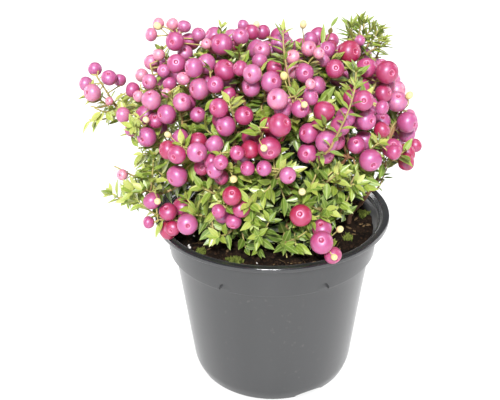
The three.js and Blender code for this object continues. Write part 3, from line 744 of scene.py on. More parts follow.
def plan_plant():
    """The stems' paths, the twigs as (stem, path, bunch, seed), and the bunches."""
    room = Room()
    bunches = [Bunch(seed, name, row) for seed, (name, row) in enumerate(BUNCHES.items())]
    for turn in range(3):
        for bunch in bunches:
            if turn < 2 or not bunch.name.startswith("berries_back_low"):
                bunch.grow(room, turn, BERRY_SINK, CLEARANCE)
    stems = {}
    for name, (root, tip) in STEMS.items():
        ways = (stem_path(root, tip, bow) for bow in STEM_BOWS)
        stems[name] = next(way for way in ways if room.is_clear(balls_along(way, STEM_RADIUS), name))
        room.claim(balls_along(stems[name], STEM_RADIUS), name)
    twigs = []
    for bunch in bunches:
        reach = held((TWIG_TOP - bunch.at[2]) / max(0.2, bunch.axis[2]), *TWIG_REACHES)
        ways = twig_paths(stems[bunch.stem], bunch.at, bunch.axis, TWIG_STRAIGHT, reach)
        path = first_clear(ways, bunch.stem, room)
        room.claim(balls_along(path, TWIG_RADIUS), bunch.stem)
        path = [*path[:-1], bunch.at + bunch.axis * min(reach, SHOWN_REACH)]
        twigs.append((bunch.stem, path, bunch, 100 + bunch.seed))
    for i, (name, tips) in enumerate(SHOOTS.items()):
        for j, tip in enumerate(tips):
            seed = 300 + 10 * i + j
            tip = np.array(tip, float)
            path = first_clear(shoot_paths(stems[name], tip, twig_axis(tip, seed)), name, room)
            room.claim(balls_along(path, TWIG_RADIUS), name)
            twigs.append((name, path, None, seed))
    return stems, twigs, bunches


stems, twigs, bunches = plan_plant()


# The bush's outline from in front: its top, and its right side at the top and where it is widest
CROWN_TOP = 186
CROWN_RIGHT = 67.8
WIDEST_RIGHT = 72.5

# A leafy shoot that ends beyond this stands out at the far left
FAR_LEFT = -84

# Where the bush is open on the right: up to two heights, near the middle and at the side
OPEN_RIGHT = (98, 116)


def is_open_side(at):
    """Whether a place is low on the right or halfway up on the left, where the bush has no foliage."""
    if at[0] > 24:
        return at[1] < 24 and at[2] < between(*OPEN_RIGHT, held((at[0] - 24) / 26)) + 9 * (at[0] > 50)
    if at[0] < -62 and at[1] < 16:
        return 121.5 < at[2] + 0.42 * (at[1] + 20) < 139 or at[2] < 100
    return False


def is_left_of_edge(at, radius):
    """Whether a berry stays within the bush's right side, which leans in above the widest place."""
    edge = CROWN_RIGHT - 0.5 * max(0, at[2] - 150) if at[2] > 140 else WIDEST_RIGHT
    return at[0] + radius < edge


def is_in_crown(at, radius):
    """Whether a berry stays under the bush's domed top and within its right side."""
    top = CROWN_TOP - (0.5 if at[1] > 0 else 0.15) * at[1] - 0.0055 * at[0] ** 2
    return at[2] + radius < top and is_left_of_edge(at, radius)


def drawn_end(path, radius):
    """The path, with its last stretch shortened until its end is in the crown."""
    far = np.linalg.norm(path[-1] - path[-2])
    for back in range(int(far)):
        end = between(path[-1], path[-2], back / far)
        if is_in_crown(end, radius):
            break
    return [*path[:-1], end]


def drawn_twigs():
    """The planned twigs, but for the leafy shoots that end where the bush is open.

    The leafy shoot at the far left is straighter and higher, and no twig stands bare out of the top.
    """
    drawn = []
    for name, path, bunch, seed in twigs:
        root, tip = path[0], path[-1]
        if not bunch and tip[0] < FAR_LEFT:
            path = [root, between(root, tip, 0.45) + UP * 9, between(root, tip, 0.93) + UP * 15]
        elif not bunch and is_open_side(tip):
            continue
        elif name != "stem_right_top" and tip[0] >= -40:
            path = drawn_end(path, 8)
        drawn.append((name, path, bunch, seed))
    return drawn


twigs = drawn_twigs()


# The berries. Each is a waxy round fruit, a little flattened, whose fleshy skin closes over the top and
# leaves a ringed pit with the dry end of the flower in it. It hangs on its own short stalk.

BERRY_SEGMENTS = 24
BERRY_GAP = 0.05
THIN_TWIG_RADIUS = 0.3
CHAIN_TURNS = 8
LOOSE_TRIES = 60
PLACE_TRIES = 5
PLACE_STEP = 0.75

# A radius below which a berry is young and pale, and how much paler it is for each millimetre below it
YOUNG_RADIUS = 3.3
YOUNG_PALENESS = 0.7

# Bunches whose berries all have their places below
BY_HAND = (
    "berries_left_far", "berries_left_shoulder", "berries_front_low_middle", "berries_low_front_right",
    "berries_over_rim", "berries_top_right", "berries_right_outer", "berries_right_lower",
)

# All berries of those bunches, and berries of others that make the bush's outline from in front, each as
# its place and its radius
OUTLINE_BERRIES = {
    "berries_left_far": [
        (-82.4, -14, 158, 4.1), (-75.5, -8, 163, 3.7), (-83, -2, 165.5, 3.3), (-87.5, -4, 159, 3.5),
        (-72, -2, 160, 3.2), (-76, -10, 152.5, 2),
    ],
    "berries_top_left": [
        (-51.5, -2, 186.5, 2.9), (-45.2, -1, 186, 2.9), (-39.5, -4.5, 185.8, 3.1), (-54, -5, 182, 3.1),
        (-43, -12, 181, 4.3), (-33, -7, 182.6, 3.2), (-36, -12, 176, 3.4), (-29, -12.5, 179.8, 2.5),
    ],
    "berries_left_shoulder": [
        (-51, -11, 174.6, 2.9), (-55, -7, 170, 3.7), (-42, -20, 173, 4.3), (-48.4, -16, 168.6, 3.1),
        (-60.7, -4, 163, 3.2), (-55, -17, 164, 3.6), (-64, -12, 158.5, 3.6), (-60, -21, 158.5, 2.6),
        (-45.5, -28, 162, 2.2), (-37, -16, 171, 2.2),
    ],
    "berries_left_middle": [
        (-50, -31, 159, 4.4), (-64, -22, 143, 3.6), (-56, -31, 144, 4), (-38, -35, 163, 4.1),
    ],
    "berries_low_left": [
        (-55, -36, 113, 4.1), (-57, -38, 103, 3), (-48, -42, 101, 4.6), (-38, -47, 107, 4.9),
    ],
    "berries_low_front_left": [(-22, -50, 115, 3.3), (-16, -47, 105, 4.5), (-17, -55, 125, 4.3)],
    "berries_low_front_right": [(12.6, -56, 116, 4.9)],
    "berries_front_low_middle": [(-3, -55, 138, 3.4), (6.5, -54.5, 134.5, 3.7), (-10, -54, 137.5, 3.2)],
    "berries_over_rim": [(22.5, -49, 105.5, 4.5), (21.5, -58.5, 104, 5.2), (27, -55.5, 96, 4)],
    "berries_right_outer": [(62, -18, 144.4, 4.9), (56.8, -18, 154, 4.7), (63.7, -10, 135.8, 4.6)],
    "berries_right_lower": [
        (54, -31, 136.5, 4.6), (64, -12, 126.4, 4.7), (62, -24, 127, 4.1), (70, -2, 126, 3.5),
    ],
    "berries_top_middle_left": [(-13, 0, 185, 2.7), (-9, -5, 183, 3.6)],
    "berries_upper_right": [(20, -30, 180, 2.5)],
    "berries_top_right": [
        (34.3, -15, 176.4, 5.1), (39.5, -9.5, 180, 2.5), (27.3, -28, 172.5, 4.2), (25, -13, 177, 3.7),
    ],
    "berries_upper_front_right": [(16, -44, 171, 2.3), (12, -50, 158, 3)],
}

# The berry's section in shares of its radius, from its stalk to the bottom of its pit
BERRY_SECTION = [
    (0, -0.86), (0.13, -0.85), (0.27, -0.86), (0.45, -0.81), (0.64, -0.69), (0.8, -0.51), (0.92, -0.28),
    (0.985, -0.03), (0.99, 0.2), (0.94, 0.42), (0.83, 0.62), (0.67, 0.77), (0.5, 0.865), (0.39, 0.9),
    (0.32, 0.92), (0.26, 0.92), (0.215, 0.895), (0.185, 0.84), (0.13, 0.805), (0.06, 0.8), (0, 0.81),
]


def shares_along(rows, sides):
    """How far each point of a turned form is from its first end to its last, from 0 to 1."""
    share = np.zeros(rows * sides + 2)
    share[:-2] = np.repeat(np.arange(1, rows + 1), sides) / (rows + 1)
    share[-1] = 1
    return share


def tinted(points, *numbers):
    """Three numbers for each of the points, each given as one for all or as one for each."""
    return np.stack([np.zeros(len(points)) + number for number in numbers], 1)


def berry_form():
    """The points and faces of a berry of radius 1 with its apex up."""
    points, faces = lathe(np.array(BERRY_SECTION), BERRY_SEGMENTS)
    turn = np.arctan2(points[:, 1], points[:, 0])
    wide = np.hypot(points[:, 0], points[:, 1])
    near_pit = (points[:, 2] > 0.7) * np.clip(1 - abs(wide - 0.25) / 0.25, 0, 1)
    points[:, :2] *= (1 + 0.05 * near_pit * np.cos(5 * turn))[:, None]
    return points, faces


def gathered(parts):
    """Several (points, faces, tints) as one."""
    offset = 0
    faces = []
    for points, part_faces, _ in parts:
        faces.append(np.where(part_faces >= 0, part_faces + offset, -1))
        offset += len(points)
    return np.vstack([p for p, _, _ in parts]), np.vstack(faces), np.vstack([t for _, _, t in parts])


def berry_axis(bunch, berry):
    """The apex looks away from the twig and a little out of the bush."""
    lean = 0.7 * (chance(bunch.seed, berry["turn"], 7) - 0.4)
    side = np.cross(berry["out"], bunch.axis) * 0.7 * (chance(bunch.seed, berry["turn"], 8) - 0.5)
    return unit(berry["out"] + bunch.axis * lean + way_out(berry["at"], 35) * 0.9 + side)


def berry_mesh(bunch):
    form, faces = berry_form()
    share = shares_along(len(BERRY_SECTION) - 2, BERRY_SEGMENTS)
    parts = []
    for berry in bunch.berries:
        axis = berry_axis(bunch, berry)
        first, second = square_to(axis)
        draws = [chance(bunch.seed, berry["turn"], k) for k in (20, 21, 22)]
        size = berry["radius"] * np.array([1 + 0.05 * (draws[0] - 0.5), 1, 0.97 + 0.08 * (draws[1] - 0.5)])
        points = berry["at"] + (form * size) @ np.array([first, second, axis])
        young = YOUNG_PALENESS * max(0, YOUNG_RADIUS - berry["radius"])
        ripe = held(bunch.ripe + 0.7 * (draws[2] - 0.5) - young)
        parts.append((points, faces, tinted(points, ripe, share, 0)))
    return gathered(parts)


def berry_skin():
    """Waxy pink to crimson skin with a painted highlight in a pale ring round the pit, paler at the stalk,
    and with faint mottling.
    """
    finish = Finish("berry_skin")
    ripe = finish.tint("X")
    share = finish.tint("Y")
    cloud = finish.noise(260, 4)
    fine = finish.noise(1500, 3)
    tone = ripe + (cloud - 0.5) * 0.35
    colour = finish.ramp(tone, (0, (0.76, 0.5, 0.57)), (0.2, (0.54, 0.24, 0.45)),
                         (0.45, (0.495, 0.155, 0.38)), (0.78, (0.46, 0.07, 0.22)),
                         (1, (0.43, 0.015, 0.085)))
    # A painted highlight: the pale ring round the pit stands for light on the pit's raised rim.
    ring = share.step(0.68, 0.74) * (1 - share.step(0.78, 0.84))
    pit = share.step(0.82, 0.88)
    foot = 1 - share.step(0.03, 0.16)
    colour = finish.mix(ring * 0.5, colour, (0.8, 0.42, 0.55))
    colour = finish.mix(pit * 0.9, colour, (0.45, 0.01, 0.09))
    colour = finish.mix(foot * 0.5, colour, (0.45, 0.3, 0.08))
    rough = 0.44 + cloud * 0.1
    bump = finish.bump(cloud * 0.7 + fine * 0.3, 0.00012, 0.4)
    return finish.surface({
        "Base Color": colour, "Roughness": rough, "Normal": bump, "IOR": 1.86, "Specular IOR Level": 1,
        "Specular Tint": (0.38, 0.76, 1, 1), "Subsurface Weight": 0.5, "Subsurface Scale": 0.003,
        "Subsurface Radius": (1, 0.2, 0.3), "Coat Weight": 0.7, "Coat Roughness": 0.32,
        "Coat IOR": 1.38, "Coat Tint": (1, 0.48, 0.58, 1),
    })


def keeps_outline(at, radius):
    """Whether a bunch's third berry stays within what the viewer sees of the bush."""
    return is_left_of_edge(at, radius) and (abs(at[0]) > 25 or is_in_crown(at, radius))


def add_outline_berries(bunch, room):
    """The bunch's berries at given places, or up to 3 mm farther out where a place is taken."""
    for *place, radius in OUTLINE_BERRIES.get(bunch.name, []):
        for k in range(PLACE_TRIES):
            at = np.array(place) + way_out(place, 30) * PLACE_STEP * k
            free = is_inside(at, radius) and room.is_clear(one_ball(at, radius), bunch.name, BERRY_GAP)
            if free and not bunch.touches(at, radius):
                rise = held((at - bunch.at) @ bunch.axis, -7, 7)
                out = unit(at - bunch.at - bunch.axis * rise)
                bunch.add(room, at, radius, rise, out, 10 + len(bunch.berries))
                break


def place_berries():
    """Grows the bunches clear of the wood: berries with places first, then chains, then single ones."""
    room = Room()
    for name, path in stems.items():
        room.claim(balls_along(path, STEM_RADIUS), name)
    for name, path, _, _ in twigs:
        room.claim(balls_along(path, THIN_TWIG_RADIUS), name)
    grown = [bunch for bunch in bunches if bunch.name not in BY_HAND]
    for bunch in bunches:
        bunch.clear()
        if bunch not in grown:
            add_outline_berries(bunch, room)
    for turn in range(3):
        for bunch in grown:
            bunch.grow(room, turn, -BERRY_GAP, BERRY_GAP, keeps_outline if turn == 2 else is_left_of_edge)
    for bunch in grown:
        add_outline_berries(bunch, room)
    for turn in range(3, CHAIN_TURNS):
        for bunch in grown:
            bunch.grow(room, turn, -BERRY_GAP, BERRY_GAP, is_in_crown)
    for tries in range(LOOSE_TRIES):
        for bunch in bunches:
            if len(bunch.berries) < bunch.most and (bunch in grown or bunch.at[2] > 140):
                add_loose_berry(bunch, room, tries)
    return room


def add_loose_berry(bunch, room, tries):
    """A berry on a longer stalk, in a gap that the chain has left."""
    draws = [chance(bunch.seed, tries, k) for k in (60, 61, 62, 63)]
    radius = bunch.size * (0.72 + 0.35 * draws[0])
    rise = between(-9, 9, draws[1])
    out = around(bunch.first, bunch.second, 2 * math.pi * draws[2])
    at = bunch.at + bunch.axis * rise + out * (radius + 1 + 5 * draws[3])
    fits = at[2] >= POT_HEIGHT + RIM_GAP + radius and is_in_crown(at, radius) and is_inside(at, radius)
    fits = fits and not bunch.touches(at, radius)
    if fits and room.is_clear(one_ball(at, radius), bunch.name, BERRY_GAP):
        bunch.add(room, at, radius, rise, out, 20 + tries)


def is_inside(at, radius):
    """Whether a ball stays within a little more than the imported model's box."""
    low, high = (np.array(corner) * 1000 for corner in frame_box)
    spare = (high - low) * 0.022
    return bool((at - radius > low - spare).all() and (at + radius < high + spare).all())


room = place_berries()
skin = berry_skin()
for bunch in bunches:
    piece = mesh_piece(bunch.name.replace("berries", "bunch"), berry_mesh(bunch), skin, sharp=2.5)
    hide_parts(bunch.name)
    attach(piece, "root")


# The wood. Old stems have thin brown bark. The twigs are green to reddish tan and rough with the scars
# of fallen leaves, and each berry's stalk is pale and thin. All grew as one with their stem.

STEM_STEPS = 7
TWIG_STEPS = 6
STEM_SPRIGS = 16
TWIG_SPRIGS = 5
SPRIG_LENGTHS = (9, 17)
SPRIG_TRIES = 10
LOW_FOLIAGE = 120
PUSH_ROUNDS = 30
SMOOTH_ROUNDS = 24

# Each kind of wood: its radius at its root and its tip, its sides, the age of its bark at both ends, and
# how knotty it is
OLD_STEM = {"thick": STEM_RADIUS, "thin": STEM_TIP_RADIUS, "sides": 12, "ages": (1, 0.45), "knots": 0.22}
TWIG = {"thick": 0.72, "thin": 0.36, "sides": 8, "ages": (0.5, 0.05), "knots": 0.2}
LEADER = {"thick": 0.55, "thin": 0.3, "sides": 8, "ages": (0.38, 0.16), "knots": 0.3}
SIDE_SHOOT = {"thick": 0.5, "thin": 0.3, "sides": 6, "ages": (0.35, 0), "knots": 0}
BERRY_STALK = {"thick": 0.34, "thin": 0.3, "flare": 0.55, "sides": 6, "ages": (0.12, 0), "knots": 0}
BUD_STALK = {"thick": 0.3, "thin": 0.26, "sides": 6, "ages": (0.1, 0.02), "knots": 0}


def curve_through(points, steps):
    """A smooth curve that passes through the points."""
    points = [2 * points[0] - points[1], *points, 2 * points[-1] - points[-2]]
    curve = []
    for a, b, c, d in zip(points, points[1:], points[2:], points[3:]):
        for t in np.arange(steps) / steps:
            curve.append(0.5 * (2 * b + (c - a) * t + (2 * a - 5 * b + 4 * c - d) * t * t
                                + (3 * b - 3 * c + d - a) * t ** 3))
    curve.append(points[-2])
    return np.array(curve)


def frames_along(curve):
    """The direction of a curve at each point and two directions square to it, without twist."""
    along = np.gradient(curve, axis=0)
    along /= np.linalg.norm(along, axis=1)[:, None]
    across = [square_to(along[0])[0]]
    for way in along[1:]:
        across.append(unit(across[-1] - way * (across[-1] @ way)))
    across = np.array(across)
    return along, across, np.cross(along, across)


def tube(curve, radii, sides, ages):
    """A closed round rod along a curve. Its tint is its age and the share of its length."""
    along, across, other = frames_along(curve)
    turns = np.arange(sides) * 2 * math.pi / sides
    ring = across[:, None] * np.cos(turns)[None, :, None] + other[:, None] * np.sin(turns)[None, :, None]
    points = (curve[:, None] + ring * np.asarray(radii)[:, None, None]).reshape(-1, 3)
    ends = np.array([curve[0] - along[0] * radii[0] * 0.4, curve[-1] + along[-1] * radii[-1] * 0.6])
    share = np.concatenate([np.repeat(np.linspace(0, 1, len(curve)), sides), [0, 1]])
    tints = tinted(share, between(*ages, share), share, 0)
    return np.vstack([points, ends]), closed_faces(len(curve), sides), tints


def rod(curve, kind, seed=0):
    """A piece of wood along a curve, which swells and thins as buds and scars make it."""
    radii = [radius * (1 + kind["knots"] * (chance(seed, i, 31) - 0.5))
             for i, radius in enumerate(np.linspace(kind["thick"], kind["thin"], len(curve)))]
    radii[-1] = kind.get("flare", radii[-1])
    return tube(curve, radii, kind["sides"], kind["ages"])


def stalk_rod(bunch, berry):
    """The stalk bends from its twig to the foot of its berry."""
    axis = berry_axis(bunch, berry)
    foot = berry["at"] - axis * 0.8 * berry["radius"]
    start = bunch.at + bunch.axis * (berry["rise"] - 2)
    middle = between(start, foot, 0.5) + bunch.axis * 0.5 - axis * 0.6
    return rod(curve_through([start, middle, foot], 4), BERRY_STALK)


def bark():
    """Brown bark on old wood, reddish tan on twigs, and yellow-green on the youngest and on stalks."""
    finish = Finish("bark")
    age = finish.tint("X") + (finish.noise(500, 3) - 0.5) * 0.25
    fine = finish.noise(1800, 5, (1, 1, 0.35))
    colour = finish.ramp(age, (0, (0.55, 0.5, 0.16)), (0.2, (0.42, 0.34, 0.13)),
                         (0.45, (0.3, 0.13, 0.06)), (1, (0.085, 0.042, 0.026)))
    colour = finish.mix(fine.step(0.45, 0.7) * 0.5, colour, (0.19, 0.12, 0.075))
    bump = finish.bump(fine, 0.0003)
    return finish.surface({"Base Color": colour, "Roughness": 0.55 + fine * 0.3, "Normal": bump})


def sprig_path(curve, place, seed, owner):
    """A side shoot from a place on a twig, the first of a few ways that is clear."""
    along, across, other = frames_along(curve)
    root = curve[place]
    for tries in range(SPRIG_TRIES):
        turn = 2 * math.pi * chance(seed, tries, 70)
        length = between(*SPRIG_LENGTHS, chance(seed, tries, 71)) - tries * 0.6
        out = around(across[place], other[place], turn)
        way = unit(along[place] * 0.35 + out * 0.9 + way_out(root, 0.001) * 0.25)
        tip = root + way * length + UP * 2
        path = [root, root + way * length * 0.5, tip]
        balls = balls_along([path[0] + way * 1.5, *path[1:]], 0.5)
        inner = outwardness(tip) < (0.9 if tip[2] > 122 else 0.96)
        left_edge = -90 if tip[2] > 125 else -70
        at_left = left_edge < tip[0] < -50 and 96 < tip[2] < 154 and is_inside(tip, 5)
        fits = (inner or at_left) and not is_open_side(tip) and all(is_high(p) for p in path[1:])
        if fits and room.is_clear(balls, owner, 0.1):
            room.claim(balls, owner)
            return path
    return None


def outwardness(at):
    """0 in the middle of the bush and 1 among its outer berries."""
    return math.hypot(at[0] / 66, at[1] / 54, max(0, at[2] - 125) / 58)


def grow_sprigs():
    """Side shoots on the stems and twigs, which fill the bush with foliage under its berries."""
    grown = []
    rods = [(name, path, 900 + i, STEM_SPRIGS) for i, (name, path) in enumerate(stems.items())]
    rods += [(name, path, seed, TWIG_SPRIGS) for name, path, _, seed in twigs if name != "stem_low_right"]
    for name, path, seed, count in rods:
        curve = curve_through(path, TWIG_STEPS)
        for k in range(count):
            share = between(0.2, 0.95, (k + 0.5) / count)
            own = 2000 + seed * 16 + k
            place = int(share * (len(curve) - 1))
            if curve[place][2] < LOW_FOLIAGE and k % 2:
                continue
            path = sprig_path(curve, place, own, name)
            if path:
                grown.append((name, path, own))
    return grown


def nearest_wood(at, names):
    """The stem whose wood comes nearest to a place, and that point of its wood."""
    best = (math.inf, None, None)
    for name, path in [*stems.items(), *((name, path) for name, path, _, _ in twigs)]:
        if name in names:
            curve = curve_through(path, TWIG_STEPS)[3:-2]
            far = np.linalg.norm(curve - at, axis=1)
            if far.min() < best[0]:
                best = (far.min(), name, curve[far.argmin()])
    return best[1:]


def bent_clear(points, gap):
    """A curve through the points, pushed out of the berries that it would meet. Its ends stay."""
    curve = curve_through(points, TWIG_STEPS)
    berries = np.array([[*berry["at"], berry["radius"]] for bunch in bunches for berry in bunch.berries])
    for tries in range(PUSH_ROUNDS):
        away = curve[:, None] - berries[None, :, :3]
        far = np.linalg.norm(away, axis=2)[:, :, None]
        push = np.clip(berries[None, :, 3:] + gap - far, 0, None) * away / far
        curve[1:-1] += 0.7 * push.sum(1)[1:-1]
        if tries < SMOOTH_ROUNDS:
            curve[1:-1] = 0.6 * curve[1:-1] + 0.2 * (curve[:-2] + curve[2:])
    return curve


# Long shoots that stand out of the bush: their stem, their way to the tip, and the habit of their leaves
LEADERS = [
    ("stem_right_front", [(24, -54, 148), (28, -54, 155), (31, -52, 161), (33, -50, 167), (34, -48, 171)],
     "sparse"),
    ("stem_top_right", [(8, -38, 167), (6, -34, 177), (5, -28, 183), (5, -24, 188)], "sparse"),
    ("stem_top_left", [(-50, -5, 171), (-50, -5, 175)], "sparse"),
    ("stem_top_middle", [(-25, -3, 178), (-23, -1, 184)], "sparse"),
    ("stem_top_right", [(26, -9, 181), (26.5, -8, 185.5)], "blade"),
    ("stem_left", [(-66, -12, 104), (-72, -12, 103), (-77, -12, 103)], "needles"),
    ("stem_low_right", [(53, -5, 103), (55, -6, 110), (56, -7, 116), (60, -6, 121)], "needles"),
    ("stem_low_right", [(54, -6, 109), (53, -8, 114), (54, -9, 121)], "needles"),
    ("stem_right_top", [(40, 2, 178), (41, 2, 182), (41, 3, 186)], "spiky"),
    ("stem_right_top", [(42, 1, 176), (44, 1, 180), (46, 2, 183)], "spiky"),
    ("stem_right_top", [(43, 0, 174), (47, 0, 178), (49, 1, 182)], "spiky"),
    ("stem_right_top", [(44, -1, 172), (48, -1, 174), (51, 0, 177)], "spiky"),
    ("stem_right_top", [(39, 1, 176), (37, 2, 179), (37, 4, 183)], "spiky"),
]


def grow_leaders():
    grown = []
    for k, (name, points, habit) in enumerate(LEADERS):
        points = [np.array(point, float) for point in points]
        root = nearest_wood(points[0] - UP * 3, [name])[1]
        curve = bent_clear([root, *points], 0.8)
        room.claim(balls_along(curve, 0.5), name)
        grown.append((name, curve, 3900 + k, habit))
    return grown


leaders = grow_leaders()
sprigs = grow_sprigs()
wood = {name: [rod(curve_through(path, STEM_STEPS), OLD_STEM, i)]
        for i, (name, path) in enumerate(stems.items())}
for name, path, _, seed in twigs:
    wood[name].append(rod(curve_through(path, TWIG_STEPS), TWIG, seed))
for name, path, _ in sprigs:
    wood[name].append(rod(curve_through(path, 3), SIDE_SHOOT))
for name, curve, seed, _ in leaders:
    wood[name].append(rod(curve, LEADER, seed))
for bunch in bunches:
    wood[bunch.stem] += [stalk_rod(bunch, berry) for berry in bunch.berries]


# The buds. Each is a waxy cream-yellow egg, the young fruit that a flower has left, greener at its foot
# and brownish at its tip. It grows on a thin pale stalk from the nearest wood.

BUD_RADIUS = 1.65
BUD_SEGMENTS = 12
BUD_TRIES = 14
BUD_STEP = 0.7
BUD_SECTION = [
    (0, -1), (0.3, -0.98), (0.6, -0.8), (0.84, -0.45), (0.95, 0), (0.9, 0.45), (0.7, 0.82), (0.42, 1.02),
    (0.2, 1.08), (0.12, 1), (0, 0.98),
]

# The buds that the viewer sees, then those on the back
BUDS = [
    (14, -12, 188), (13, -50, 164), (5, -38, 172), (59, -20, 157), (-3, -57, 148), (-16, -57, 134),
    (-51, -44, 117), (-43, -38, 146), (-55, -34, 152), (-51, -8, 187), (30, -52, 107), (24, -54, 95),
    (13, -55, 127),
    (-30, 40, 165), (20, 44, 160), (0, 60, 150), (-48, 36, 138), (44, 40, 150), (8, 34, 170), (-7, 5, 184),
    (-20, 58, 125), (56, 24, 150), (-62, 20, 150),
]


def bud_place(wanted):
    """The first place that is clear, from the wanted one outward."""
    for k in range(BUD_TRIES):
        at = np.array(wanted) + way_out(wanted, 25) * BUD_STEP * k
        if room.is_clear(one_ball(at, BUD_RADIUS), "buds", 0.2):
            return at
    return None


def grow_bud(wanted, seed):
    """Adds a bud's stalk to the wood, and gives its stem and its mesh."""
    at = bud_place(wanted)
    if at is None:
        return None
    room.claim(one_ball(at, BUD_RADIUS), "buds")
    name, root = nearest_wood(at - UP * 3, list(stems))
    axis = unit(unit(at - root) + way_out(at, 40))
    size = BUD_RADIUS * (0.85 + 0.25 * chance(seed, 1))
    foot = at - axis * size * 0.9
    curve = bent_clear([root, between(root, foot, 0.5) - axis, foot], 0.5)
    wood[name].append(rod(curve, BUD_STALK))
    points, faces = lathe(np.array(BUD_SECTION), BUD_SEGMENTS)
    points = at + (points * [size, size, size * 1.1]) @ np.array([*square_to(axis), axis])
    share = shares_along(len(BUD_SECTION) - 2, BUD_SEGMENTS)
    return name, (points, faces, tinted(points, chance(seed, 2), share, 0))


def bud_skin():
    """Cream-yellow wax, greener at the stalk, with a brownish tip."""
    finish = Finish("bud_skin")
    share = finish.tint("Y")
    cloud = finish.noise(700, 3)
    colour = finish.mix(finish.tint("X"), (0.8, 0.68, 0.26), (0.84, 0.72, 0.42))
    colour = finish.mix((1 - share.step(0.12, 0.4)) * 0.8, colour, (0.36, 0.42, 0.08))
    colour = finish.mix(share.step(0.8, 0.95) * 0.7, colour, (0.4, 0.26, 0.08))
    return finish.surface({"Base Color": colour, "Roughness": 0.35 + cloud * 0.2, "Coat Weight": 0.3})


buds = {}
for seed, wanted in enumerate(BUDS):
    grown = grow_bud(wanted, 5000 + seed)
    if grown:
        buds.setdefault(grown[0], []).append(grown[1])
bud_material = bud_skin()
for name, parts in buds.items():
    piece = mesh_piece(name.replace("stem", "buds"), gathered(parts), bud_material)
    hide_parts(name)
    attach(piece, "root")


# The leaves. Each is a stiff leathery blade with a raised midrib and a needle-sharp tip. They stand in
# close spirals on the twigs, bright yellow-green at the tips of the shoots and glossy. Those inside the
# bush are painted dark as painted shade, and those high up and on the left are painted lighter as painted
# light.

LEAF_LENGTH = 9.4
LEAF_WIDTH = 3.8
GOLDEN_TURN = math.radians(137.5)

# How leaves stand on a shoot: their spacing, how many close its tip, and their size and slimness
BROAD = {"spacing": 2, "tuft": 6, "size": 1, "slim": 1}
SPIKY = {"spacing": 0.9, "tuft": 10, "size": 0.8, "slim": 0.62}
SPARSE = {"spacing": 2.2, "tuft": 5, "size": 0.75, "slim": 0.8}
NEEDLES = {"spacing": 2.2, "tuft": 5, "size": 0.55, "slim": 0.55}
BLADE = {"spacing": 9, "tuft": 2, "size": 1.15, "slim": 0.6}
HABITS = {"broad": BROAD, "spiky": SPIKY, "sparse": SPARSE, "needles": NEEDLES, "blade": BLADE}

# The blade's half width in shares of the whole, along its length
LEAF_ROWS = [
    (0.02, 0.12), (0.1, 0.22), (0.22, 0.7), (0.37, 0.98), (0.54, 0.94), (0.72, 0.65), (0.87, 0.3),
    (0.96, 0.07),
]

# Where the balls that stand for a blade are along it, and their radii in shares of its width
LEAF_BALLS = [(0.35, 0.3), (0.62, 0.27), (0.92, 0.1)]


def leaf_form():
    """A blade of length 1 and width 1: points as (along, across, up), with its faces."""
    rows = []
    for along, wide in LEAF_ROWS:
        half = wide / 2
        thick = 0.035 + 0.02 * (along < 0.12)
        fold = 0.32 * half
        rows.append([
            (along, 0, 0), (along, -half * 0.55, fold * 0.5), (along, -half, fold),
            (along, 0, -thick * 1.8), (along, half, fold), (along, half * 0.55, fold * 0.5),
        ])
    points = np.array(rows).reshape(-1, 3)
    ends = np.array([[0, 0, -0.03], [1, 0, 0]])
    return np.vstack([points, ends]), closed_faces(len(rows), 6)


def leaf_balls(root, way, length, width):
    return [[*(root + way * length * share), width * wide] for share, wide in LEAF_BALLS]


def is_above_pot(balls):
    return all(z >= (POT_HEIGHT + 2 if math.hypot(x, y) > LIP_INNER_RADIUS - 8 else SOIL_TOP + 5)
               for x, y, z, _ in balls)


def leaves_on(curve, start, seed, owner, habit, stands_out=False):
    """Leaves in a spiral round the outer part of a twig, closing to a tuft at its tip."""
    along, across, other = frames_along(curve)
    lengths = np.concatenate([[0], np.cumsum(np.linalg.norm(np.diff(curve, axis=0), axis=1))])
    grown = []
    tuft_size = habit["tuft"]
    shoot = f"{owner}_{seed}"
    count = int(lengths[-1] * (1 - start) / habit["spacing"]) + tuft_size
    for i in range(count):
        share = start + (1 - start) * min(1, (i + 0.5) / (count - tuft_size + 1))
        place = share * lengths[-1]
        root = np.array([np.interp(place, lengths, curve[:, k]) for k in range(3)])
        row = min(len(curve) - 1, int(np.searchsorted(lengths, place)))
        tuft = max(0, i - count + tuft_size + 1) / (tuft_size + 1)
        young = held(1 - (lengths[-1] - place) / 12)
        for tries in range(4):
            draws = [chance(seed, i + 40 * tries, k) for k in range(50, 54)]
            turn = i * GOLDEN_TURN + seed + 0.5 * (draws[0] - 0.5) + tries * 1.3
            out = around(across[row], other[row], turn)
            open_ = between(1.25, 0.95, young) * between(1, 0.6, tuft) + 0.4 * (draws[1] - 0.5)
            way = along[row] * math.cos(open_) + out * math.sin(open_)
            face = along[row] * math.sin(open_) - out * math.cos(open_)
            light = unit(np.array([0.3 * root[0], 0.3 * root[1] - 45, 75.0]))
            face = face + (0.8 + 1.6 * draws[3]) * light
            face = unit(face - way * (face @ way))
            size = between(1, 0.55, tuft) * (0.72 + 0.38 * draws[2]) * habit["size"]
            wide = size * habit["slim"]
            tip = root + way * LEAF_LENGTH * size
            balls = leaf_balls(root, way, LEAF_LENGTH * size, LEAF_WIDTH * size * habit["slim"])
            free = stands_out or not is_open_side(tip) and is_in_crown(tip, 5)
            free = free and is_above_pot(balls) and is_inside(tip, 0)
            if free and room.is_clear(balls, shoot, 0.05):
                room.claim(balls, shoot)
                grown.append((root, way, face, size, wide, young, chance(seed, i, 54), i))
                break
    return grown


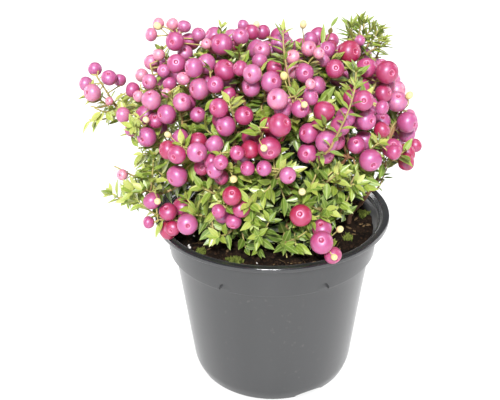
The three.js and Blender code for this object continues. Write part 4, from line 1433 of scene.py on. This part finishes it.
def leaf_mesh(leaves):
    form, faces = leaf_form()
    parts = []
    for root, way, face, size, wide, young, draw, seed in leaves:
        side = np.cross(face, way)
        length = LEAF_LENGTH * size
        width = LEAF_WIDTH * wide * (0.88 + 0.24 * chance(seed, draw, 6))
        curl = 0.12 * (chance(seed, draw, 7) - 0.25)
        local = form * [length, width, width]
        local[:, 2] = form[:, 2] * width - curl * length * form[:, 0] ** 2
        points = root + local @ np.array([way, side, face])
        # Painted light and shade: leaves deep inside the bush are painted darker as painted shade, and
        # leaves high up and on the left are painted lighter as painted light, on top of each leaf's own
        # random tone and youth.
        high = held((root[2] - 105) / 30)
        left = held(-root[0] / 45, -1, 1.8) * held((172 - root[2]) / 10)
        lit = held((outwardness(root) - 0.5) / 0.42)
        lit = between(lit, 1, 0.12 + 0.13 * held((root[2] - 145) / 20))
        tone = (0.3 + 0.1 * left + 0.1 * young + 0.55 * draw + 0.15 * high) * lit
        parts.append((points, faces, tinted(points, tone, form[:, 0], abs(form[:, 1]) * 2)))
    return gathered(parts)


def leaf_skin():
    """Glossy leather, yellow-green when young, with a pale midrib and edge and darker flesh between, and
    with painted shade and painted light from each leaf's tone.
    """
    finish = Finish("leaf_skin")
    tone = finish.tint("X")
    along = finish.tint("Y")
    across = finish.tint("Z")
    cloud = finish.noise(240, 3)
    veins = finish.noise(1300, 4)
    # The tone brings each leaf's painted shade and painted light into this colour, so the ramp paints shade
    # inside the bush as well as the leaf's age, and the pale rib and edge fade where the leaf is painted
    # dark.
    age = tone + (cloud - 0.5) * 0.25
    colour = finish.ramp(age, (0, (0.006, 0.014, 0.003)), (0.2, (0.04, 0.085, 0.01)),
                         (0.5, (0.15, 0.25, 0.026)), (0.78, (0.31, 0.41, 0.05)),
                         (1, (0.48, 0.52, 0.115)))
    rib = (1 - across.step(0.02, 0.2)) * age.step(0, 0.4)
    edge = across.step(0.68, 0.98) * age.step(0, 0.4)
    colour = finish.mix(rib * 0.5, colour, (0.5, 0.58, 0.18))
    colour = finish.mix(edge * 0.55, colour, (0.58, 0.62, 0.24))
    colour = finish.mix(along.step(0.9, 1) * 0.5, colour, (0.5, 0.38, 0.14))
    colour = finish.mix(veins.step(0.45, 0.75) * 0.25, colour, (0.06, 0.13, 0.015))
    rough = 0.34 + veins * 0.15
    bump = finish.bump(rib * 0.8 + veins * 0.5, 0.0002, 0.6)
    return finish.surface({
        "Base Color": colour, "Roughness": rough, "Normal": bump, "Specular IOR Level": 0.8,
        "Subsurface Weight": 0.08, "Subsurface Scale": 0.0008, "Subsurface Radius": (0.5, 1, 0.2),
        "Coat Weight": 0.5, "Coat Roughness": 0.25,
    })


leaves = {name: [] for name in stems}
for name, path, bunch, seed in twigs:
    habit = BROAD
    if bunch:
        habit = {**(NEEDLES if path[-1][0] < -70 else BROAD), "tuft": 1 + int(3 * chance(seed, 8))}
    elif name == "stem_right_top":
        habit = SPIKY
    elif name in ("stem_right", "stem_low_right"):
        habit = SPARSE
    stands_out = habit is SPIKY or path[-1][0] < -78
    leaves[name] += leaves_on(curve_through(path, TWIG_STEPS), 0.3, seed, name, habit, stands_out)
for name, curve, seed, habit in leaders:
    leaves[name] += leaves_on(curve, 0.2, seed, name, HABITS[habit], True)
for name, path, seed in sprigs:
    leaves[name] += leaves_on(curve_through(path, 4), 0.15, seed, name, BROAD)
for i, (name, path) in enumerate(stems.items()):
    leaves[name] += leaves_on(curve_through(path, STEM_STEPS), 0.35, 700 + i, name, BROAD)

leaf_material = leaf_skin()
bark_material = bark()
for name in stems:
    rods = mesh_piece(name.replace("stem", "wood"), gathered(wood[name]), bark_material, sharp=1.2)
    blades = mesh_piece(name.replace("stem", "leaves"), leaf_mesh(leaves[name]), leaf_material, sharp=0.9)
    for piece, slot in ((rods, "heath_bark"), (blades, "heath_leaf")):
        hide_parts(name)
        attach(piece, "root")


# The litter on the soil. Crumbs of peat, chips of wood, pale fibres and a few white grains lie on the
# peat, and moss grows in small cushions near the pot's wall.

CRUMB_COUNT = 1100
CHIP_COUNT = 150
GRAIN_COUNT = 12
FIBRE_COUNT = 45
LITTER_RADIUS = 50
FRONT_GRAIN = (-7, -45)

# The moss cushions as x, y and radius
MOSS = [(-17, -43, 4.5), (48, 4, 3.5), (38, -20, 3), (29, -38, 3), (-34, -34, 3), (-40, 26, 5), (6, 44, 4)]


def soil_spot(seed, nearest=0):
    """A random place on the soil, no nearer to its middle than this, that no stem stands on."""
    for tries in range(9):
        turn = 2 * math.pi * chance(seed, tries, 81)
        out = math.sqrt(between(nearest ** 2, LITTER_RADIUS ** 2, chance(seed, tries, 82)))
        x, y = out * math.cos(turn), out * math.sin(turn)
        if all(math.hypot(x - root[0], y - root[1]) > 3.5 for root, _ in STEMS.values()):
            break
    return x, y


def on_soil(x, y, rise):
    return np.array([x, y, crumbly_height(x, y) + rise])


def lump(seed, at, size, shade):
    """A small rough stone or crumb of the size (x, y, z), turned at random."""
    outline = np.array([(0, -1), (0.72, -0.62), (1, 0.05), (0.7, 0.66), (0, 1)])
    points, faces = lathe(outline, 6)
    points = points * [[0.75 + 0.5 * chance(seed, i, 83)] for i in range(len(points))] * np.array(size)
    points = turned(points, 360 * chance(seed, 84)) + at
    return points, faces, tinted(points, shade, shade, shade)


def crumbs():
    parts = []
    for k in range(CRUMB_COUNT):
        size = 0.35 + 0.85 * chance(k, 85) ** 2
        at = on_soil(*soil_spot(6000 + k), size * 0.15)
        parts.append(lump(k, at, (size, size * 0.8, size * 0.6), 0.45 * chance(k, 86)))
    for k in range(CHIP_COUNT):
        length = 0.8 + 1.5 * chance(k, 87)
        at = on_soil(*soil_spot(8000 + k, 10), 0.35)
        parts.append(lump(900 + k, at, (length, length * 0.38, 0.32), 0.5 + 0.5 * chance(k, 88)))
    for k in range(FIBRE_COUNT):
        x, y = soil_spot(9000 + k)
        way = around(np.array([1.0, 0, 0]), np.array([0, 1.0, 0]), 2 * math.pi * chance(k, 89))
        bow = np.cross(UP, way) * (chance(k, 90) - 0.5) * 3
        path = [np.array([x, y, 0]) + way * (2.5 * t) + bow * (1 - t * t) for t in (-1, 0, 1)]
        path = [on_soil(place[0], place[1], 0.25) for place in path]
        points, faces, tints = tube(curve_through(path, 3), [0.16] * 7, 5, (1, 1))
        parts.append((points, faces, tints * (0.45 + 0.35 * chance(k, 91))))
    return gathered(parts)


def crumb_skin():
    finish = Finish("soil_litter")
    fine = finish.noise(1500, 4)
    shade = finish.tint("X") + (fine - 0.5) * 0.2
    colour = finish.ramp(shade, (0, (0.009, 0.006, 0.004)), (0.4, (0.034, 0.018, 0.01)),
                         (0.65, (0.085, 0.052, 0.025)), (1, (0.19, 0.125, 0.06)))
    return finish.surface({"Base Color": colour, "Roughness": 0.85, "Specular IOR Level": 0.15,
                           "Normal": finish.bump(fine, 0.0003)})


def grains():
    parts = []
    for k in range(GRAIN_COUNT):
        place = soil_spot(9500 + k, 20) if k else FRONT_GRAIN
        size = 0.55 + 0.35 * chance(k, 92)
        parts.append(lump(3000 + k, on_soil(*place, size * 0.5), (size, size, size * 0.9), 1))
    return gathered(parts)


def grain_skin():
    finish = Finish("white_grain")
    cloud = finish.noise(1200, 3)
    colour = finish.mix(cloud, (0.62, 0.6, 0.55), (0.82, 0.8, 0.76))
    return finish.surface({"Base Color": colour, "Roughness": 0.8})


def moss_cushions():
    parts = []
    for m, (x, y, radius) in enumerate(MOSS):
        for k in range(int(9 * radius * radius)):
            turn = 2 * math.pi * chance(m, k, 93)
            out = radius * math.sqrt(chance(m, k, 94)) * (0.8 + 0.2 * math.sin(3 * turn + m))
            rise = 0.5 + 1.2 * (1 - out / radius)
            foot = on_soil(x + out * math.cos(turn), y + out * math.sin(turn), -0.4)
            lean = np.array([chance(m, k, 95) - 0.5, chance(m, k, 96) - 0.5, 0]) * 1.4
            path = [foot, foot + UP * rise + lean * 0.4, foot + UP * (rise + 1.1) + lean * 1.3]
            points, faces, tints = tube(np.array(path), [0.34, 0.3, 0.08], 4, (0, 1))
            tints[:, 2] = chance(m, k, 97)
            parts.append((points, faces, tints))
    return gathered(parts)


def moss_skin():
    finish = Finish("moss")
    tone = finish.tint("Y") * 0.6 + finish.tint("Z") * 0.4
    colour = finish.ramp(tone, (0, (0.015, 0.022, 0.004)), (0.5, (0.07, 0.1, 0.015)),
                         (1, (0.26, 0.3, 0.06)))
    return finish.surface({"Base Color": colour, "Roughness": 0.8, "Specular IOR Level": 0.2})


for name, shape, material in (
        ("soil_litter", crumbs(), crumb_skin()),
        ("white_grains", grains(), grain_skin()),
        ("moss_cushions", moss_cushions(), moss_skin())):
    piece = mesh_piece(name, shape, material, sharp=1)
    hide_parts("soil")
    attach(piece, "root")


# The studio. A pale floor under soft white light, most of it from in front and above, and the camera
# where the photographer held it.

CAMERA_PLACE = (0, -0.3315, 0.2627)
CAMERA_YAW = -0.03358
CAMERA_PITCH = 0.46731
CAMERA_ROLL = -0.01676
CAMERA_LENS = 51.97
FLOOR_HALF = 20000


def set_camera():
    ahead = Vector((math.sin(CAMERA_YAW) * math.cos(CAMERA_PITCH),
                    math.cos(CAMERA_YAW) * math.cos(CAMERA_PITCH), -math.sin(CAMERA_PITCH)))
    right = Vector((math.cos(CAMERA_YAW), -math.sin(CAMERA_YAW), 0))
    up = right.cross(ahead)
    level = Matrix((right, up, -ahead)).transposed()
    data = bpy.data.cameras.new("camera")
    data.lens = CAMERA_LENS
    data.sensor_fit = "HORIZONTAL"
    data.clip_start = 0.01
    camera = bpy.data.objects.new("camera", data)
    turn = level @ Matrix.Rotation(CAMERA_ROLL, 3, "Z")
    camera.matrix_world = Matrix.Translation(CAMERA_PLACE) @ turn.to_4x4()
    bpy.context.scene.collection.objects.link(camera)
    bpy.context.scene.camera = camera


def far_light(name, place, strength, spread):
    """A large lamp a long way off, so that it lights the floor evenly, with soft shadows."""
    data = bpy.data.lights.new(name, "SUN")
    data.energy = strength
    data.angle = math.radians(spread)
    light = bpy.data.objects.new(name, data)
    light.rotation_euler = Vector(place).to_track_quat("Z", "Y").to_euler()
    bpy.context.scene.collection.objects.link(light)


def pale_floor():
    finish = Finish("pale_floor")
    cloud = finish.noise(3, 2)
    colour = finish.mix(cloud, (0.88, 0.88, 0.88), (0.92, 0.92, 0.92))
    material = finish.surface({"Base Color": colour, "Roughness": 0.9})
    points = np.array([[-1, -1, 0], [1, -1, 0], [1, 1, 0], [-1, 1, 0]]) * FLOOR_HALF
    floor = mesh_piece("floor", (points, np.array([[0, 1, 2, 3]])), material)


def white_room():
    world = bpy.data.worlds.new("white_room")
    world.use_nodes = True
    sky = world.node_tree.nodes["Background"]
    sky.inputs["Color"].default_value = (0.95, 0.97, 1, 1)
    sky.inputs["Strength"].default_value = 0.15
    bpy.context.scene.world = world


set_camera()
pale_floor()
white_room()
far_light("front_light", (-0.05, -0.77, 0.62), 4.7, 8)
far_light("top_light", (0.1, 0.1, 1), 0.9, 40)
far_light("left_light", (-0.85, 0.45, 0.3), 1.3, 30)
far_light("right_light", (0.85, 0.45, 0.3), 0.9, 30)
bpy.context.scene.view_settings.view_transform = "Standard"
